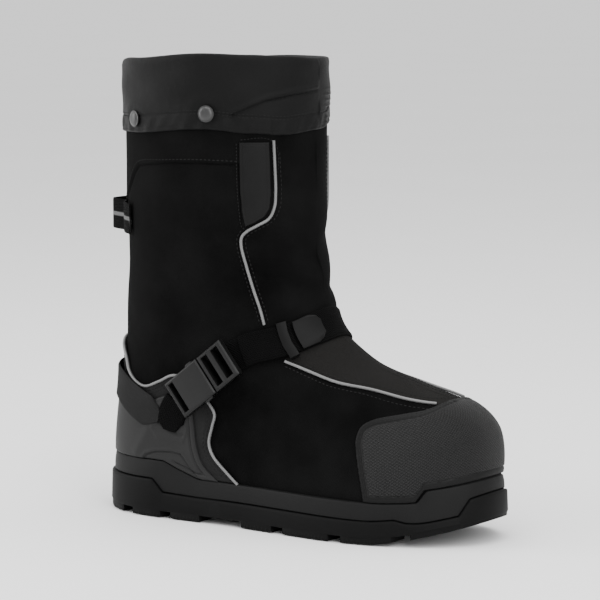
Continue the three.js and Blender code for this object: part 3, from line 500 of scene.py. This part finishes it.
def grey(value, warm=0.0):
    return (value * (1 + warm), value, value * (1 - warm), 1)


def fabricPaint():
    p = Paint("upper_fabric")
    across, up = p.lay()
    weave = (across * (2 * math.pi / 1.5)).sin() * (up * (2 * math.pi / 1.1)).sin()
    # Large blotches: partly random tone, partly painted light and shade standing in for light and dark on large folds
    cloud = p.noise(14, 4)
    fine = p.noise(900, 2)
    vamp = p.attribute("vamp")
    cloud = ((cloud - 0.3) * 2.5).clip()
    # The blotches lighten and darken the base colour: painted light and shade as well as random tone
    base = p.mix(cloud, grey(0.0012), grey(0.0056))
    base = p.mix(vamp, base, p.mix(fine, grey(0.005, 0.04), grey(0.015, 0.04)))
    return p.finish(base, 0.78 + cloud * 0.16, weave * 0.5 + fine * 0.9, 0.22, **{"Specular IOR Level": 0.025})


def rubberPaint(name, low, high, depth=0.12, shine=0.1, diamonds=False, sipes=False):
    p = Paint(name)
    cloud = p.noise(30)
    fine = p.noise(700, 3)
    height = fine
    if diamonds:
        across, up = p.lay()
        one = ((across + up * 1.3) * (math.pi / 3.0)).sin().abs()
        two = ((across - up * 1.3) * (math.pi / 3.0)).sin().abs()
        inside = ((p.attribute("edgeDepth") - 5.2) * 0.9).clip() * p.attribute("textured")
        height = fine * 0.12 + one.math("MINIMUM", two).power(0.7) * inside
    if sipes:
        x, y, z = p.place()
        wave = ((x + ((y * (2 * math.pi / 11)).sin().abs()) * 4.5) * (2 * math.pi / 3.1)).sin()
        low2 = ((4.0 - z) * 0.8).clip()
        height = fine * 0.2 + (wave * 1.6).clip() * low2
    colour = p.mix(cloud, grey(low), grey(high))
    if diamonds:
        border = ((5.0 - p.attribute("edgeDepth")) * 2).clip() * p.attribute("textured")
        colour = p.mix(border, colour, grey(low * 0.35))
    return p.finish(colour, 0.46 + cloud * 0.2, height, depth, **{"Specular IOR Level": shine})


def panelPaint():
    p = Paint("panel_fabric")
    across, up = p.lay()
    weave = (across * (2 * math.pi / 1.4)).sin() * (up * (2 * math.pi / 1.4)).sin()
    cloud = p.noise(45)
    return p.finish(p.mix(cloud, grey(0.008), grey(0.015)), 0.72 + cloud * 0.15, weave * 0.5 + p.noise(800) * 0.8, 0.2,
        **{"Specular IOR Level": 0.06})


def cuffPaint():
    p = Paint("cuff_fabric")
    across, up = p.lay()
    weave = (across * (2 * math.pi / 1.0)).sin() * (up * (2 * math.pi / 0.9)).sin()
    cloud = p.noise(26)
    creased = p.noise(120, 5, 0.65)
    base = p.mix(cloud, grey(0.0018), grey(0.0045))
    return p.finish(base, 0.42 + cloud * 0.16, weave * 0.12 + creased * 1.3, 0.4, **{"Specular IOR Level": 0.08})


def webbingPaint():
    p = Paint("webbing")
    along, across = p.lay()
    ribs = (across * (2 * math.pi / 1.55)).sin()
    picks = ((along + across * 0.55) * (2 * math.pi / 1.7)).sin()
    cloud = p.noise(60)
    stripe = p.attribute("stripe")
    base = p.mix(cloud, grey(0.0012), grey(0.0035))
    return p.finish(p.mix(stripe, base, grey(0.12)), 0.66 + cloud * 0.14, ribs * 0.45 + picks * 0.5 + p.noise(900) * 0.3, 0.4, **{"Specular IOR Level": 0.025})


def plasticPaint(name, low, high, rough, shine=0.2):
    p = Paint(name)
    cloud = p.noise(50)
    return p.finish(p.mix(cloud, grey(low), grey(high)), rough + cloud * 0.12, p.noise(1400, 2), 0.05, **{"Specular IOR Level": shine})


def pipingPaint():
    p = Paint("piping")
    cloud = p.noise(90)
    beads = p.node("ShaderNodeTexVoronoi", {}, {"Vector": p.node("ShaderNodeTexCoord", {}, output="Object"), "Scale": 2600.0})
    return p.finish(p.mix(cloud, grey(0.08), grey(0.15)), 0.34 + cloud * 0.2, beads, 0.05, **{"Metallic": 0.25})


def metalPaint(name, low, high, rough, metallic, coat):
    p = Paint(name)
    cloud = p.noise(130)
    return p.finish(p.mix(cloud, grey(low), grey(high)), rough + cloud * 0.15, p.noise(1800, 2), 0.03,
        **{"Metallic": metallic, "Coat Weight": coat, "Coat Roughness": 0.2})


materials = {
    "upper_fabric": fabricPaint(),
    "outsole_rubber": rubberPaint("outsole_rubber", 0.0025, 0.005, 0.35, 0.06, sipes=True),
    "midsole_rubber": rubberPaint("midsole_rubber", 0.004, 0.008, 0.12, 0.09),
    "cap_rubber": rubberPaint("cap_rubber", 0.008, 0.015, 0.8, 0.13, diamonds=True),
    "panel_fabric": panelPaint(),
    "cuff_fabric": cuffPaint(),
    "webbing": webbingPaint(),
    "lining": plasticPaint("lining", 0.005, 0.009, 0.85, 0.05),
    "patch_plastic": plasticPaint("patch_plastic", 0.003, 0.006, 0.42, 0.08),
    "buckle_plastic": plasticPaint("buckle_plastic", 0.003, 0.006, 0.3, 0.2),
    "snap_metal": metalPaint("snap_metal", 0.006, 0.012, 0.32, 0.0, 0.06),
    "piping": pipingPaint(),
    "stud_steel": metalPaint("stud_steel", 0.5, 0.72, 0.22, 1.0, 0.0),
}
print("materials ready")

# The upper: soft folds as lines of the side view with a half width and a height
folds = [
    ([(146, 226), (160, 225), (175, 220), (188, 206)], 6.5, -1.7), ([(152, 213), (166, 209), (178, 202), (190, 190)], 6, 1.3),
    ([(156, 196), (170, 190), (182, 183), (196, 169)], 6.5, -1.8), ([(160, 180), (172, 174), (186, 167)], 6, 1.1),
    ([(112, 262), (104, 240), (89, 206)], 13, -1.3), ([(82, 202), (94, 178), (108, 152)], 13, -1.4),
    ([(134, 262), (136, 230), (122, 188)], 13, 1.1), ([(60, 230), (66, 196), (84, 160)], 14, 0.9),
    ([(160, 50), (184, 55), (210, 64)], 13, -1.5), ([(143, 83), (178, 76), (214, 90)], 12, 0.9),
    ([(190, 104), (214, 96), (244, 92)], 9, 0.6), ([(26, 196), (34, 170), (46, 146)], 9, -0.8),
]


def upperRelief(u, x, h):
    d = 0.4 * np.sin(x / 17 + h / 23) * np.sin(h / 19 + u * 9) + 0.25 * np.sin(x / 9 - h / 13 + u * 14)
    inner = u > 0.5
    for k, (line, width, height) in enumerate(folds):
        shifted = [(a + 3 * math.sin(k), b + 4 * math.cos(2 * k)) for a, b in line]
        d += height * np.where(inner, bump(lineDistance(x, h, shifted), width), bump(lineDistance(x, h, line), width))
    seam = depthInside(x, h, quarterSeam + [(151, 150), (12, 150)])
    d += -0.6 * smooth((seam + 0.3) / 0.9) * smooth((h - 158) / 60) - 1.3 * bump(seam - 0.3, 1.0) * smooth((h - 225) / 12)
    return d * smooth((h - 25) / 12)


upperSpec = {"columns": 440}
u = np.linspace(0, 1, upperSpec["columns"], endpoint=False)
h = np.concatenate([np.linspace(footHeight, 110, 50), np.linspace(112, 235, 64), np.linspace(236, 284, 60), np.linspace(287, collar, 13)])
uu, hh = np.meshgrid(u, h)
xx = plainForm(uu, hh)[..., 0]
outerFace = form(uu, hh, upperRelief(uu, xx, hh))
innerHeights = np.concatenate([np.linspace(collar, 190, 5), np.linspace(180, 60, 18), np.linspace(50, footHeight, 4)])
ui, hi = np.meshgrid(u, innerHeights)
innerFace = form(ui, hi, -upperWall)
points = np.concatenate([outerFace, innerFace])
girth = 760 - 250 * smooth((h - 110) / 80)
uvOut = np.stack([(np.mod(uu + 0.5, 1) - 0.5) * 760, hh], -1)
uvIn = np.stack([(np.mod(ui + 0.5, 1) - 0.5) * 760, hi], -1)
vampLine = np.array([(178, 133)] + vampPiping + [(312, 99)])
vampShare = smooth((hh - np.interp(xx, vampLine[:, 0], vampLine[:, 1]) + 0.6) / 1.2) * smooth((xx - 184) / 1.5) * (hh < np.interp(xx, (174, 205), (143.5, 157.5)))
shares = np.concatenate([vampShare, np.zeros(ui.shape)])
faces = gridFaces(points.shape[0], points.shape[1], closedRows=True, closedColumns=True)
addMesh("upperShell", "upper_fabric", ["upper"], points, faces, np.concatenate([uvOut, uvIn]), {"vamp": shares})
print("upper ready")

# The covers
toeSpec = {"around": (-0.25, 0.25), "heights": (24, 128), "columns": 560, "rows": 170, "inner": 0.3, "outer": 2.5, "edge": 1.6, "onSole": True}
toeOutline = [(264, 0)] + [tuple(p) for p in smoothLine(toeSeam, 4)] + [(400, 140), (400, 0)]


def toeRelief(u, x, h, depth):
    return -0.75 * bump(depth - 5.0, 0.6) - 0.25 * bump(depth - 1.7, 0.45) - 0.25 * bump(depth - 3.5, 0.45)


addCover("toeCap", "cap_rubber", ["toe_cap"], toeOutline, toeSpec, toeRelief, lambda u, x, h, depth: {"textured": 1 + 0 * x})

counterSpec = {"around": (0.29, 0.71), "heights": (24, 108), "columns": 440, "rows": 150, "inner": 1.6, "outer": 3.9, "edge": 1.8, "onSole": True}
counterOutline = [(138, 0)] + [tuple(p) for p in smoothLine(counterEdge, 3)] + [(-30, 104), (-30, 0)]
lens = [(57, 44), (62, 49), (71, 52), (86, 53), (95, 52), (104.5, 41), (115, 32), (100, 26), (70, 26), (50, 36)]
slotLine = [(74, 76), (86, 70), (97, 67)]


def counterRelief(u, x, h, depth):
    recess = depthInside(x, h, lens)
    d = -0.9 * smooth((recess + 0.3) / 0.9) - 0.6 * bump(recess - 0.2, 0.7) + 0.3 * bump(recess + 1.6, 1.3)
    d += -1.1 * bump(depth - 4.4, 0.8) * smooth((x - 84) / 6) * smooth((112 - h) / 10)
    d += 0.6 * bump(lineDistance(x, h, [(70, 80), (60, 62), (52, 50)]), 4)
    plateau = depthInside(x, h, [(70, 92), (66, 70), (72, 62), (98, 60), (104, 72), (104, 92)])
    d += 0.55 * smooth((plateau + 0.5) / 2.5)
    d += -0.9 * bump(lineDistance(x, h, slotLine), 1.4)
    return d


addCover("heelCounter", "cap_rubber", ["heel_counter"], counterOutline, counterSpec, counterRelief)

panelSpec = {"around": (0.24, 0.76), "heights": (24, 140), "columns": 340, "rows": 130, "inner": 0.2, "outer": 1.6, "edge": 1.0, "onSole": True}
panelOutline = [(158, 0)] + [tuple(p) for p in heelPiping] + [(-30, 137.5), (-30, 0)]


def panelRelief(u, x, h, depth):
    return -0.3 * bump(depth - 4.6, 0.45) + 0.15 * np.sin(x / 11) * np.sin(h / 9)


addCover("heelPanel", "panel_fabric", ["heel_panel"], panelOutline, panelSpec, panelRelief)

patchOutline = [tuple(p) for p in patchEdge]
for side, node in ((-1, "label_patch_lateral"), (1, "label_patch_medial")):
    low, high = (0.09, 0.2) if side < 0 else (0.8, 0.91)
    spec = {"around": (low, high), "heights": (230, 298), "columns": 80, "rows": 90, "inner": 0.2, "outer": 1.5, "edge": 0.8}
    addCover(node.replace("label_patch", "sidePatch"), "patch_plastic", [node], patchOutline, spec,
        lambda u, x, h, depth: -0.25 * bump(depth - 1.6, 0.4))

tabSpec = {"around": (0.47, 0.53), "heights": (149, 188), "columns": 50, "rows": 60, "inner": 0.2, "outer": 2.8, "edge": 0.9}
u, h = np.meshgrid(np.linspace(0.47, 0.53, 61), np.linspace(150, 187, 61))
tabY = plainForm(u, h)[..., 1]
span = np.argmin(np.abs(tabY[30] + 8.5)), np.argmin(np.abs(tabY[30] - 8.5))
u, h = u[:, min(span):max(span) + 1], h[:, min(span):max(span) + 1]
rib = 0.25 * np.sin(h * 2 * math.pi / 3.2)
edge = np.minimum(np.minimum(h - 150, 187 - h), 8.5 - np.abs(plainForm(u, h)[..., 1]))
tabD = 2.3 + rib + 0.3 * smooth(edge / 1.2)
tabOuter, tabInner = form(u, h, tabD), form(u, h, 0.2)
rowsCount, columnsCount = u.shape
front = gridFaces(rowsCount, columnsCount)
size = rowsCount * columnsCount
ring = [(0, j) for j in range(columnsCount)] + [(i, columnsCount - 1) for i in range(1, rowsCount)]
ring += [(rowsCount - 1, j) for j in range(columnsCount - 2, -1, -1)] + [(i, 0) for i in range(rowsCount - 2, 0, -1)]
ids = [i * columnsCount + j for i, j in ring]
skirt = [[a, b, b + size, a + size] for a, b in zip(ids, ids[1:] + ids[:1])]
addMesh("backTab", "webbing", ["back_tab"], np.concatenate([tabOuter.reshape(-1, 3), tabInner.reshape(-1, 3)]),
    front.tolist() + skirt + (front[:, ::-1] + size).tolist(), np.tile(np.stack([h, u * 500], -1).reshape(-1, 2), (2, 1)))
print("covers ready")

# The cuff
cuffRows = np.array([
    (0, 304, 359.5), (0.08, 300.7, 361), (0.13, 302.2, 362), (0.2, 305.3, 363), (0.34, 300.8, 358.5), (0.5, 299, 353.2),
    (0.66, 302, 356), (0.8, 306, 358.5), (0.92, 308.4, 358.8), (1, 304, 359.5),
])


def cuffEdge(column, u):
    i = np.clip(np.searchsorted(cuffRows[:, 0], u, side="right") - 1, 0, len(cuffRows) - 2)
    a, b = cuffRows[i], cuffRows[i + 1]
    return a[:, column] + (b[:, column] - a[:, column]) * smooth((u - a[:, 0]) / (b[:, 0] - a[:, 0]))


def cuffRelief(u, z, aboveHem):
    d = -0.55 * bump(aboveHem - 13, 0.9) - 0.4 * bump(aboveHem - 2.6, 0.6)
    x = u * 480
    fold = [(0.165 * 480, 315), (0.135 * 480, 321.5), (0.107 * 480, 327), (0.06 * 480, 331.5), (0.005 * 480, 335)]
    near = lineDistance(x, z, fold)
    above = z - np.interp(x, [p[0] for p in fold][::-1], [p[1] for p in fold][::-1])
    inRange = smooth((x + 4) / 8) * smooth((0.172 * 480 - x) / 6)
    d += inRange * (1.1 * bump(above - 2.4, 2.4) - 1.2 * bump(above + 0.6, 1.0)) + 0 * near
    d += -0.5 * bump(x - 0.095 * 480, 0.8) * smooth((14 - aboveHem) / 3)
    elastic = bump(u - 0.953, 0.018) * smooth((z - 304) / 6) * smooth((338 - z) / 6)
    d += 0.75 * elastic * np.sin(z * 2 * math.pi / 4.4)
    ruffle = smooth((15 - aboveHem) / 9)
    d += ruffle * (0.45 * np.sin(x / 3.1) * np.sin(x / 11 + 1) + 0.25 * np.sin(x / 1.9 + aboveHem / 4))
    d += 0.5 * np.sin(x / 15 + z / 11) * np.sin(z / 8 + x / 31) * smooth(aboveHem / 14)
    d += 0.3 * np.sin(x / 8.5 - z / 6.5)
    for px, pz in snapPlaces:
        away = np.hypot(x - px, z - pz)
        d += -0.7 * bump(away, 9) + 0.35 * bump(away - 12, 4)
    return d


snapSpots = [("snap_rear", 60.0, 311.6), ("snap_front", 127.6, 317.5)]
snapPlaces = [(float(aroundAt(x, z)) * 480, z) for _, x, z in snapSpots]
u = np.linspace(0, 1, 520, endpoint=False)
hem, rim = cuffEdge(1, u), cuffEdge(2, u)
rows = []
for t in np.concatenate([[0, 0.006, 0.015, 0.03], np.linspace(0.05, 0.92, 62), [0.95, 0.975, 0.99, 1.0]]):
    d = np.interp(t, [0, 0.006, 0.015, 0.03, 0.3, 0.92, 0.97, 0.99, 1], [0.7, 1.5, 2.0, 2.3, 2.8, 2.5, 1.9, 1.1, -0.3])
    z = hem + (rim - hem) * t
    rows.append((z, d + cuffRelief(u, z, z - hem) * smooth((1 - t) / 0.06) * (0.4 + 0.6 * smooth(t / 0.02)), z - hem))
for down, d in ((0.2, -2.2), (1.0, -4.0), (3, -4.8), (8, -5.3), (16, -5.4)):
    rows.append((rim - down, d + 0 * u, rim - hem + down))
rows.append((collar - 18 + 0 * u, -5.4 + 0 * u, rim - hem + 30))
rows.append((collar - 18 + 0 * u, -3.3 + 0 * u, rim - hem + 32))
rows.append((collar + 0.4 + 0 * u, -3.3 + 0 * u, rim - hem + 34))
rows.append((collar + 0.4 + 0 * u, 0.3 + 0 * u, rim - hem + 36))
points = np.stack([form(u, z, d) for z, d, _ in rows])
uv = np.stack([np.stack([u * 480, along], -1) for _, _, along in rows])
addMesh("cuffFold", "cuff_fabric", ["cuff"], points, gridFaces(len(rows), len(u), True, True), uv, sharp=60)

for name, x, z in snapSpots:
    profile = [(5.0, 0), (6.1, 0.2), (6.4, 0.7), (6.3, 1.0), (5.7, 1.15), (5.5, 1.1), (5.3, 1.35), (4.6, 2.0), (3.4, 2.45), (1.8, 2.65), (0.4, 2.7)]
    points, faces = lathe(profile, 48)
    u1 = float(aroundAt(x, z))
    low, high = form(u1, z, 3.3), form(u1, z, 4.3)
    turn = Vector((0, 0, 1)).rotation_difference(Vector(high - low)).to_matrix()
    addMesh("snapDome" + name[4:], "snap_metal", [name], points @ np.array(turn).T + low, faces, points[:, :2])
print("cuff ready")

# The sole
u = np.linspace(0, 1, 560, endpoint=False)


def midTopInner(u, drop, d):
    x = plainForm(u, footHeight)[..., 0]
    return form(u, topEdge(x) - drop, d)


def between(share):
    return lambda x: groove(x) + (topEdge(x) - groove(x)) * share


midRings = [soleRing(u, lambda x: cupFloor + 0.35, 3.85), soleRing(u, lambda x: groove(x) + 0.6, 3.85),
    soleRing(u, lambda x: groove(x) + 0.6, 6.2), soleRing(u, lambda x: groove(x) + 1.1, 6.65), soleRing(u, between(0.3), 6.6),
    soleRing(u, between(0.55), 6.35), soleRing(u, between(0.62), 6.25), soleRing(u, lambda x: topEdge(x) - 2.2, 5.75),
    soleRing(u, lambda x: topEdge(x) - 1.1, 5.5), soleRing(u, lambda x: topEdge(x) - 0.4, 5.1), soleRing(u, topEdge, 4.3),
    midTopInner(u, 0.0, 0.35), midTopInner(u, 6.0, 0.35), form(u, insoleBottom - 0.2 + 0 * u, 0.35)]
points = np.stack(midRings)
uv = np.stack([np.stack([u * 900, 0 * u + k * 3], -1) for k in range(len(midRings))])
addMesh("midsoleRim", "midsole_rubber", ["midsole"], points, gridFaces(len(midRings), len(u), True, True), uv, sharp=32)

outRings = [soleRing(u, lambda x: plateBottom, flange - 1.4), soleRing(u, lambda x: plateBottom + 0.5, flange - 0.4),
    soleRing(u, lambda x: plateBottom + 1.8, flange + 0.12), soleRing(u, lambda x: groove(x) - 2.2, flange - 0.45),
    soleRing(u, lambda x: groove(x) - 0.9, flange - 0.6), soleRing(u, lambda x: groove(x) - 0.2, flange - 1.1),
    soleRing(u, lambda x: groove(x) + 0.05, flange - 1.8), soleRing(u, lambda x: groove(x) + 0.05, 4.3),
    soleRing(u, lambda x: cupFloor, 4.3), soleRing(u, lambda x: plateBottom + 0.1, 4.3)]
points = np.stack(outRings)
uv = np.stack([np.stack([u * 900, 0 * u + k * 3], -1) for k in range(len(outRings))])
addMesh("outsoleWall", "outsole_rubber", [], points, gridFaces(len(outRings), len(u), True, True), uv, sharp=32)
addMoulded("outsoleTread", "outsole_rubber", "outsole", 0.45)

u = np.linspace(0, 1, 240, endpoint=False)
boardRings = [form(u, insoleBottom, -1.0), form(u, insoleBottom + 0.8, -0.1), form(u, footHeight - 1.0, -0.1), form(u, footHeight - 0.4, -0.6)]
points = np.stack(boardRings)
faces = gridFaces(4, len(u), closedColumns=True).tolist() + [list(range(len(u)))[::-1], [3 * len(u) + k for k in range(len(u))]]
addMesh("insoleBoard", "lining", ["insole"], points, faces, points[..., :2])

studSpots = [(0.861, 0.126), (0.812, 0.339), (0.78, -0.347), (0.768, -0.055), (0.722, 0.095), (0.687, -0.142),
    (0.652, 0.299), (0.629, -0.378), (0.597, 0.024), (0.487, -0.339), (0.493, 0.236), (0.296, -0.37), (0.29, 0.331),
    (0.191, -0.315), (0.186, 0.299), (0.136, -0.134)]
for i, (along, across) in enumerate(studSpots):
    points, faces = lathe([(0.3, 0), (0.95, 0.02), (1.1, 0.2), (1.15, 0.55), (1.6, 0.65), (2.3, 0.5), (2.9, 0.6), (3.0, 0.9), (3.0, 4.4)], 28)
    x, y = along * soleLength, across * ballWidth
    addMesh(f"stud{i + 1:02d}", "stud_steel", [f"stud_{i + 1:02d}"], points + np.array([x, y, lift(x, 0.0)]), faces, points[:, :2])
print("sole ready")

# Piping
for side, label in ((-1, "lateral"), (1, "medial")):
    for name, line in (("piping_shaft_", shaftPiping), ("piping_vamp_", vampPiping)):
        points, faces = tubeMesh(routeOn(line, side, 1.45), 1.15, 12)
        addMesh(name.replace("_", "") + label, "piping", [name + label], points, faces, points[:, :2], sharp=80)
outer = routeOn(heelPiping, -1, 2.0)
inner = routeOn(heelPiping, 1, 2.0)[::-1]
keep = outer[:, 2] > 32.5
points, faces = tubeMesh(np.vstack([outer[keep], inner[1:][inner[1:, 2] > 32.5]]), 1.15, 12)
addMesh("pipingHeel", "piping", ["piping_heel"], points, faces, points[:, :2], sharp=80)

# Stitches: short threads on the surface, one spindle each
def offsetLine(points, away):
    line = smoothLine(points, 6)
    way = np.gradient(line, axis=0)
    way /= np.linalg.norm(way, axis=1, keepdims=True)
    return line + away * np.column_stack([-way[:, 1], way[:, 0]])


stitchPoints, stitchFaces = [], []


def addStitches(u, h, d, pitch=3.4, length=2.3, radius=0.38):
    low, high = form(u, h, d), form(u, h, d + 1)
    run = np.concatenate([[0], np.cumsum(np.linalg.norm(np.diff(low, axis=0), axis=1))])
    for start in np.arange(pitch / 2, run[-1] - length, pitch):
        at = start + np.array([0, 0.25, 0.75, 1]) * length
        p = np.column_stack([np.interp(at, run, low[:, k]) for k in range(3)])
        normal = np.array([np.interp(start, run, high[:, k] - low[:, k]) for k in range(3)])
        across = np.cross(p[3] - p[0], normal)
        across /= np.linalg.norm(across)
        ring = [across, 0.8 * normal, -across, -0.8 * normal]
        base = len(stitchPoints)
        stitchPoints.extend([p[0], *[p[1] + radius * w for w in ring], *[p[2] + radius * w for w in ring], p[3]])
        for k in range(4):
            n = (k + 1) % 4
            stitchFaces.extend([[base, base + 1 + k, base + 1 + n], [base + 1 + k, base + 5 + k, base + 5 + n, base + 1 + n],
                [base + 9, base + 5 + n, base + 5 + k]])


for side in (-1, 1):
    for points, away, d, keepBelow in ((toeSeam, -1.7, 2.35, 122), (toeSeam, -3.5, 2.4, 122), (vampPiping, 2.9, 0.25, 200),
            (vampPiping, -2.9, 0.25, 200), (shaftPiping, 2.9, 0.3, 292), (shaftPiping, -2.9, 0.3, 230),
            (heelPiping, 3.6, 1.7, 133), (heelPiping, 6.2, 1.7, 128), (quarterSeam, 2.4, 0.25, 300)):
        line = offsetLine(points, away)
        line = line[(line[:, 1] < keepBelow) & (line[:, 1] > topEdge(line[:, 0]) + 2)]
        around = aroundAt(line[:, 0], line[:, 1], side)
        relief = 0 if points is toeSeam or points is heelPiping else upperRelief(around, line[:, 0], line[:, 1])
        addStitches(around, line[:, 1], d + relief)
    border = offsetLine(patchEdge + [patchEdge[0]], 1.7)
    addStitches(aroundAt(border[:, 0], border[:, 1], side), border[:, 1], 1.5, 2.6, 1.7, 0.28)
u = np.linspace(0.0, 1.0, 900)
hemLine = cuffEdge(1, u)
for above in (12.4, 14.6):
    z = hemLine + above
    addStitches(u, z, 2.75 + cuffRelief(u, z, above + 0 * u), 3.2, 2.2, 0.3)
addMesh("stitches", "panel_fabric", [], np.array(stitchPoints), stitchFaces, np.array(stitchPoints)[:, :2], sharp=80)

# Webbing
strapRows = [(134, 124, 1.3, -1), (140, 128.8, 1.1, -1), (147, 134, 0.95, -1), (158, 139.5, 0.9, -1), (166, 141.5, 0.75, -1),
    (174, 143.5, 0.7, -1), (181, 146, 0.7, -1), (188, 149.5, 0.7, -1), (194, 153.2, 0.7, -1), (205, 157.5, 0.8, 0),
    (194, 153.2, 0.7, 1), (188, 149.5, 0.7, 1), (181, 146, 0.7, 1), (174, 143.5, 0.7, 1), (166, 141.5, 0.8, 1),
    (150, 134.5, 1.2, 1), (134, 124, 3.3, 1), (118, 111, 4.6, 1), (103, 99, 4.6, 1), (90, 84, 4.5, 1), (85, 70, 4.5, 1)]
addBand("instepStrap", "webbing", ["instep_strap"], strapRows, {"width": 25, "thick": 1.5})
anchorRows = [(85.5, 70, 4.5, -1), (86.8, 79, 4.5, -1), (90.3, 86.5, 4.7, -1), (95, 92, 4.8, -1)]
addBand("lowerWebbing", "webbing", ["strap_anchor"], anchorRows, {"width": 25, "thick": 1.5, "steps": 20, "widths": ([0, 0.3, 0.34, 1], [12, 24.5, 25, 25])})
tailRows = [(150.5, 136.2, 2.85, -1), (158, 139.5, 2.75, -1), (166, 141.5, 2.6, -1), (174, 143.5, 2.55, -1), (181, 146, 2.55, -1), (184.8, 147.8, 2.55, -1)]
addBand("strapTail", "webbing", ["strap_tail"], tailRows, {"width": 25, "thick": 1.5})
endRows = [(186.2, 148.5, 2.6, -1), (190.5, 150.9, 2.6, -1), (194, 153.2, 2.6, -1), (197.2, 154.6, 2.7, -1)]
addBand("strapEndTab", "patch_plastic", ["strap_end_tab"], endRows, {"width": 24, "thick": 2, "widths": ([0, 0.6, 0.85, 1], [24, 24, 20, 13])})
heelRows = [(76, 79.5, 4.3, -1), (68, 82.8, 4.5, -1), (60, 86.5, 4.6, -1), (48, 93, 4.9, -1), (36, 99.5, 4.9, -1), (27, 102, 4.9, -1), (19, 103.6, 4.9, -1), (5, 104.5, 4.9, -1)]
addBand("heelStrap", "panel_fabric", ["heel_strap"], heelRows, {"width": 26, "thick": 1.4, "mirror": True, "widths": ([0, 0.06, 0.94, 1], [10, 26, 26, 10])})
addMoulded("strapKeeper", "patch_plastic", "strap_keeper", 0.35)
addMoulded("buckleSocket", "buckle_plastic", "buckle_socket", 0.5, 3)
addMoulded("bucklePlug", "buckle_plastic", "buckle_plug", 0.4, 3)

# The pull loop, one strip of webbing
loopHeight, loopBack = 232.7, float(form(0.5, 232.7)[0])
sewn = [form(u, loopHeight, 2.1) for u in (0.362, 0.388, 0.414, 0.44)]
half = [(p[0], p[1]) for p in sewn] + [(loopBack - 10.6, -18), (loopBack - 18.6, -12), (loopBack - 20.6, -4)]
line = smoothLine(half + [(x, -y) for x, y in reversed(half)], 10)
way = np.gradient(line, axis=0)
way /= np.linalg.norm(way, axis=1, keepdims=True)
side = np.column_stack([-way[:, 1], way[:, 0]])
run = np.concatenate([[0], np.cumsum(np.linalg.norm(np.diff(line, axis=0), axis=1))])
rise = np.linspace(-12, 12, 25)
section = [(0.75 * (0.5 + 0.5 * min(1, (12 - abs(r)) / 0.6)), r) for r in rise] + [(-0.75 * (0.5 + 0.5 * min(1, (12 - abs(r)) / 0.6)), r) for r in rise[::-1]]
points = np.stack([np.column_stack([line + side * s, np.full(len(line), loopHeight + r)]) for s, r in section], 1)
uv = np.stack([np.column_stack([run, np.full(len(run), r)]) for _, r in section], 1)
stripe = np.array([[1.0 if abs(r) < 1.2 and s > 0 or abs(r) < 1.2 else 0.0 for s, r in section]] * len(line))
count = len(section)
faces = gridFaces(len(line), count, closedColumns=True).tolist()
faces += [list(range(count)), [(len(line) - 1) * count + k for k in range(count)][::-1]]
addMesh("pullLoop", "webbing", ["pull_loop"], points, faces, uv, {"stripe": stripe})
print("webbing ready")

# Floor, light and camera
floorMesh = bpy.data.meshes.new("floor")
floorMesh.from_pydata([(-60, -60, 0), (60, -60, 0), (60, 60, 0), (-60, 60, 0)], [], [(0, 1, 2, 3)])
floor = bpy.data.objects.new("floor", floorMesh)
bpy.context.scene.collection.objects.link(floor)
floorPaint = Paint("floor")
floorMesh.materials.append(floorPaint.finish(floorPaint.mix(floorPaint.noise(2), grey(0.8), grey(0.84)), 0.7))

world = bpy.data.worlds.new("studio")
bpy.context.scene.world = world
world.use_nodes = True
world.node_tree.nodes["Background"].inputs[0].default_value = (1, 1, 1, 1)
world.node_tree.nodes["Background"].inputs[1].default_value = 1.35


def addLight(name, place, target, size, power):
    data = bpy.data.lights.new(name, "AREA")
    data.shape, data.size, data.size_y, data.energy = "RECTANGLE", size[0], size[1], power
    lamp = bpy.data.objects.new(name, data)
    bpy.context.scene.collection.objects.link(lamp)
    lamp.location = place
    lamp.rotation_euler = (Vector(target) - Vector(place)).to_track_quat("-Z", "Y").to_euler()


addLight("topSoftbox", (0.25, -0.3, 2.4), (0, 0, 0.1), (2.6, 2.6), 75)
addLight("leftSoftbox", (-1.2, -0.7, 0.7), (0, 0, 0.15), (0.7, 1.3), 14)
addLight("rightSoftbox", (1.3, -0.9, 0.8), (0, 0, 0.12), (0.8, 1.2), 18)

turn, tilt, distance = math.radians(33.2), math.radians(6.7), 2.2
back = Vector((math.sin(turn) * math.cos(tilt), -math.cos(turn) * math.cos(tilt), math.sin(tilt)))
right = Vector((math.cos(turn), math.sin(turn), 0))
up = back.cross(right)
cameraData = bpy.data.cameras.new("camera")
cameraData.sensor_width, cameraData.lens = 36, 170.8
camera = bpy.data.objects.new("camera", cameraData)
bpy.context.scene.collection.objects.link(camera)
aim = Vector((0.0, 0.0, 0.172))
camera.matrix_world = Matrix.Translation(aim + back * distance) @ Matrix((right, up, back)).transposed().to_4x4()
bpy.context.scene.camera = camera
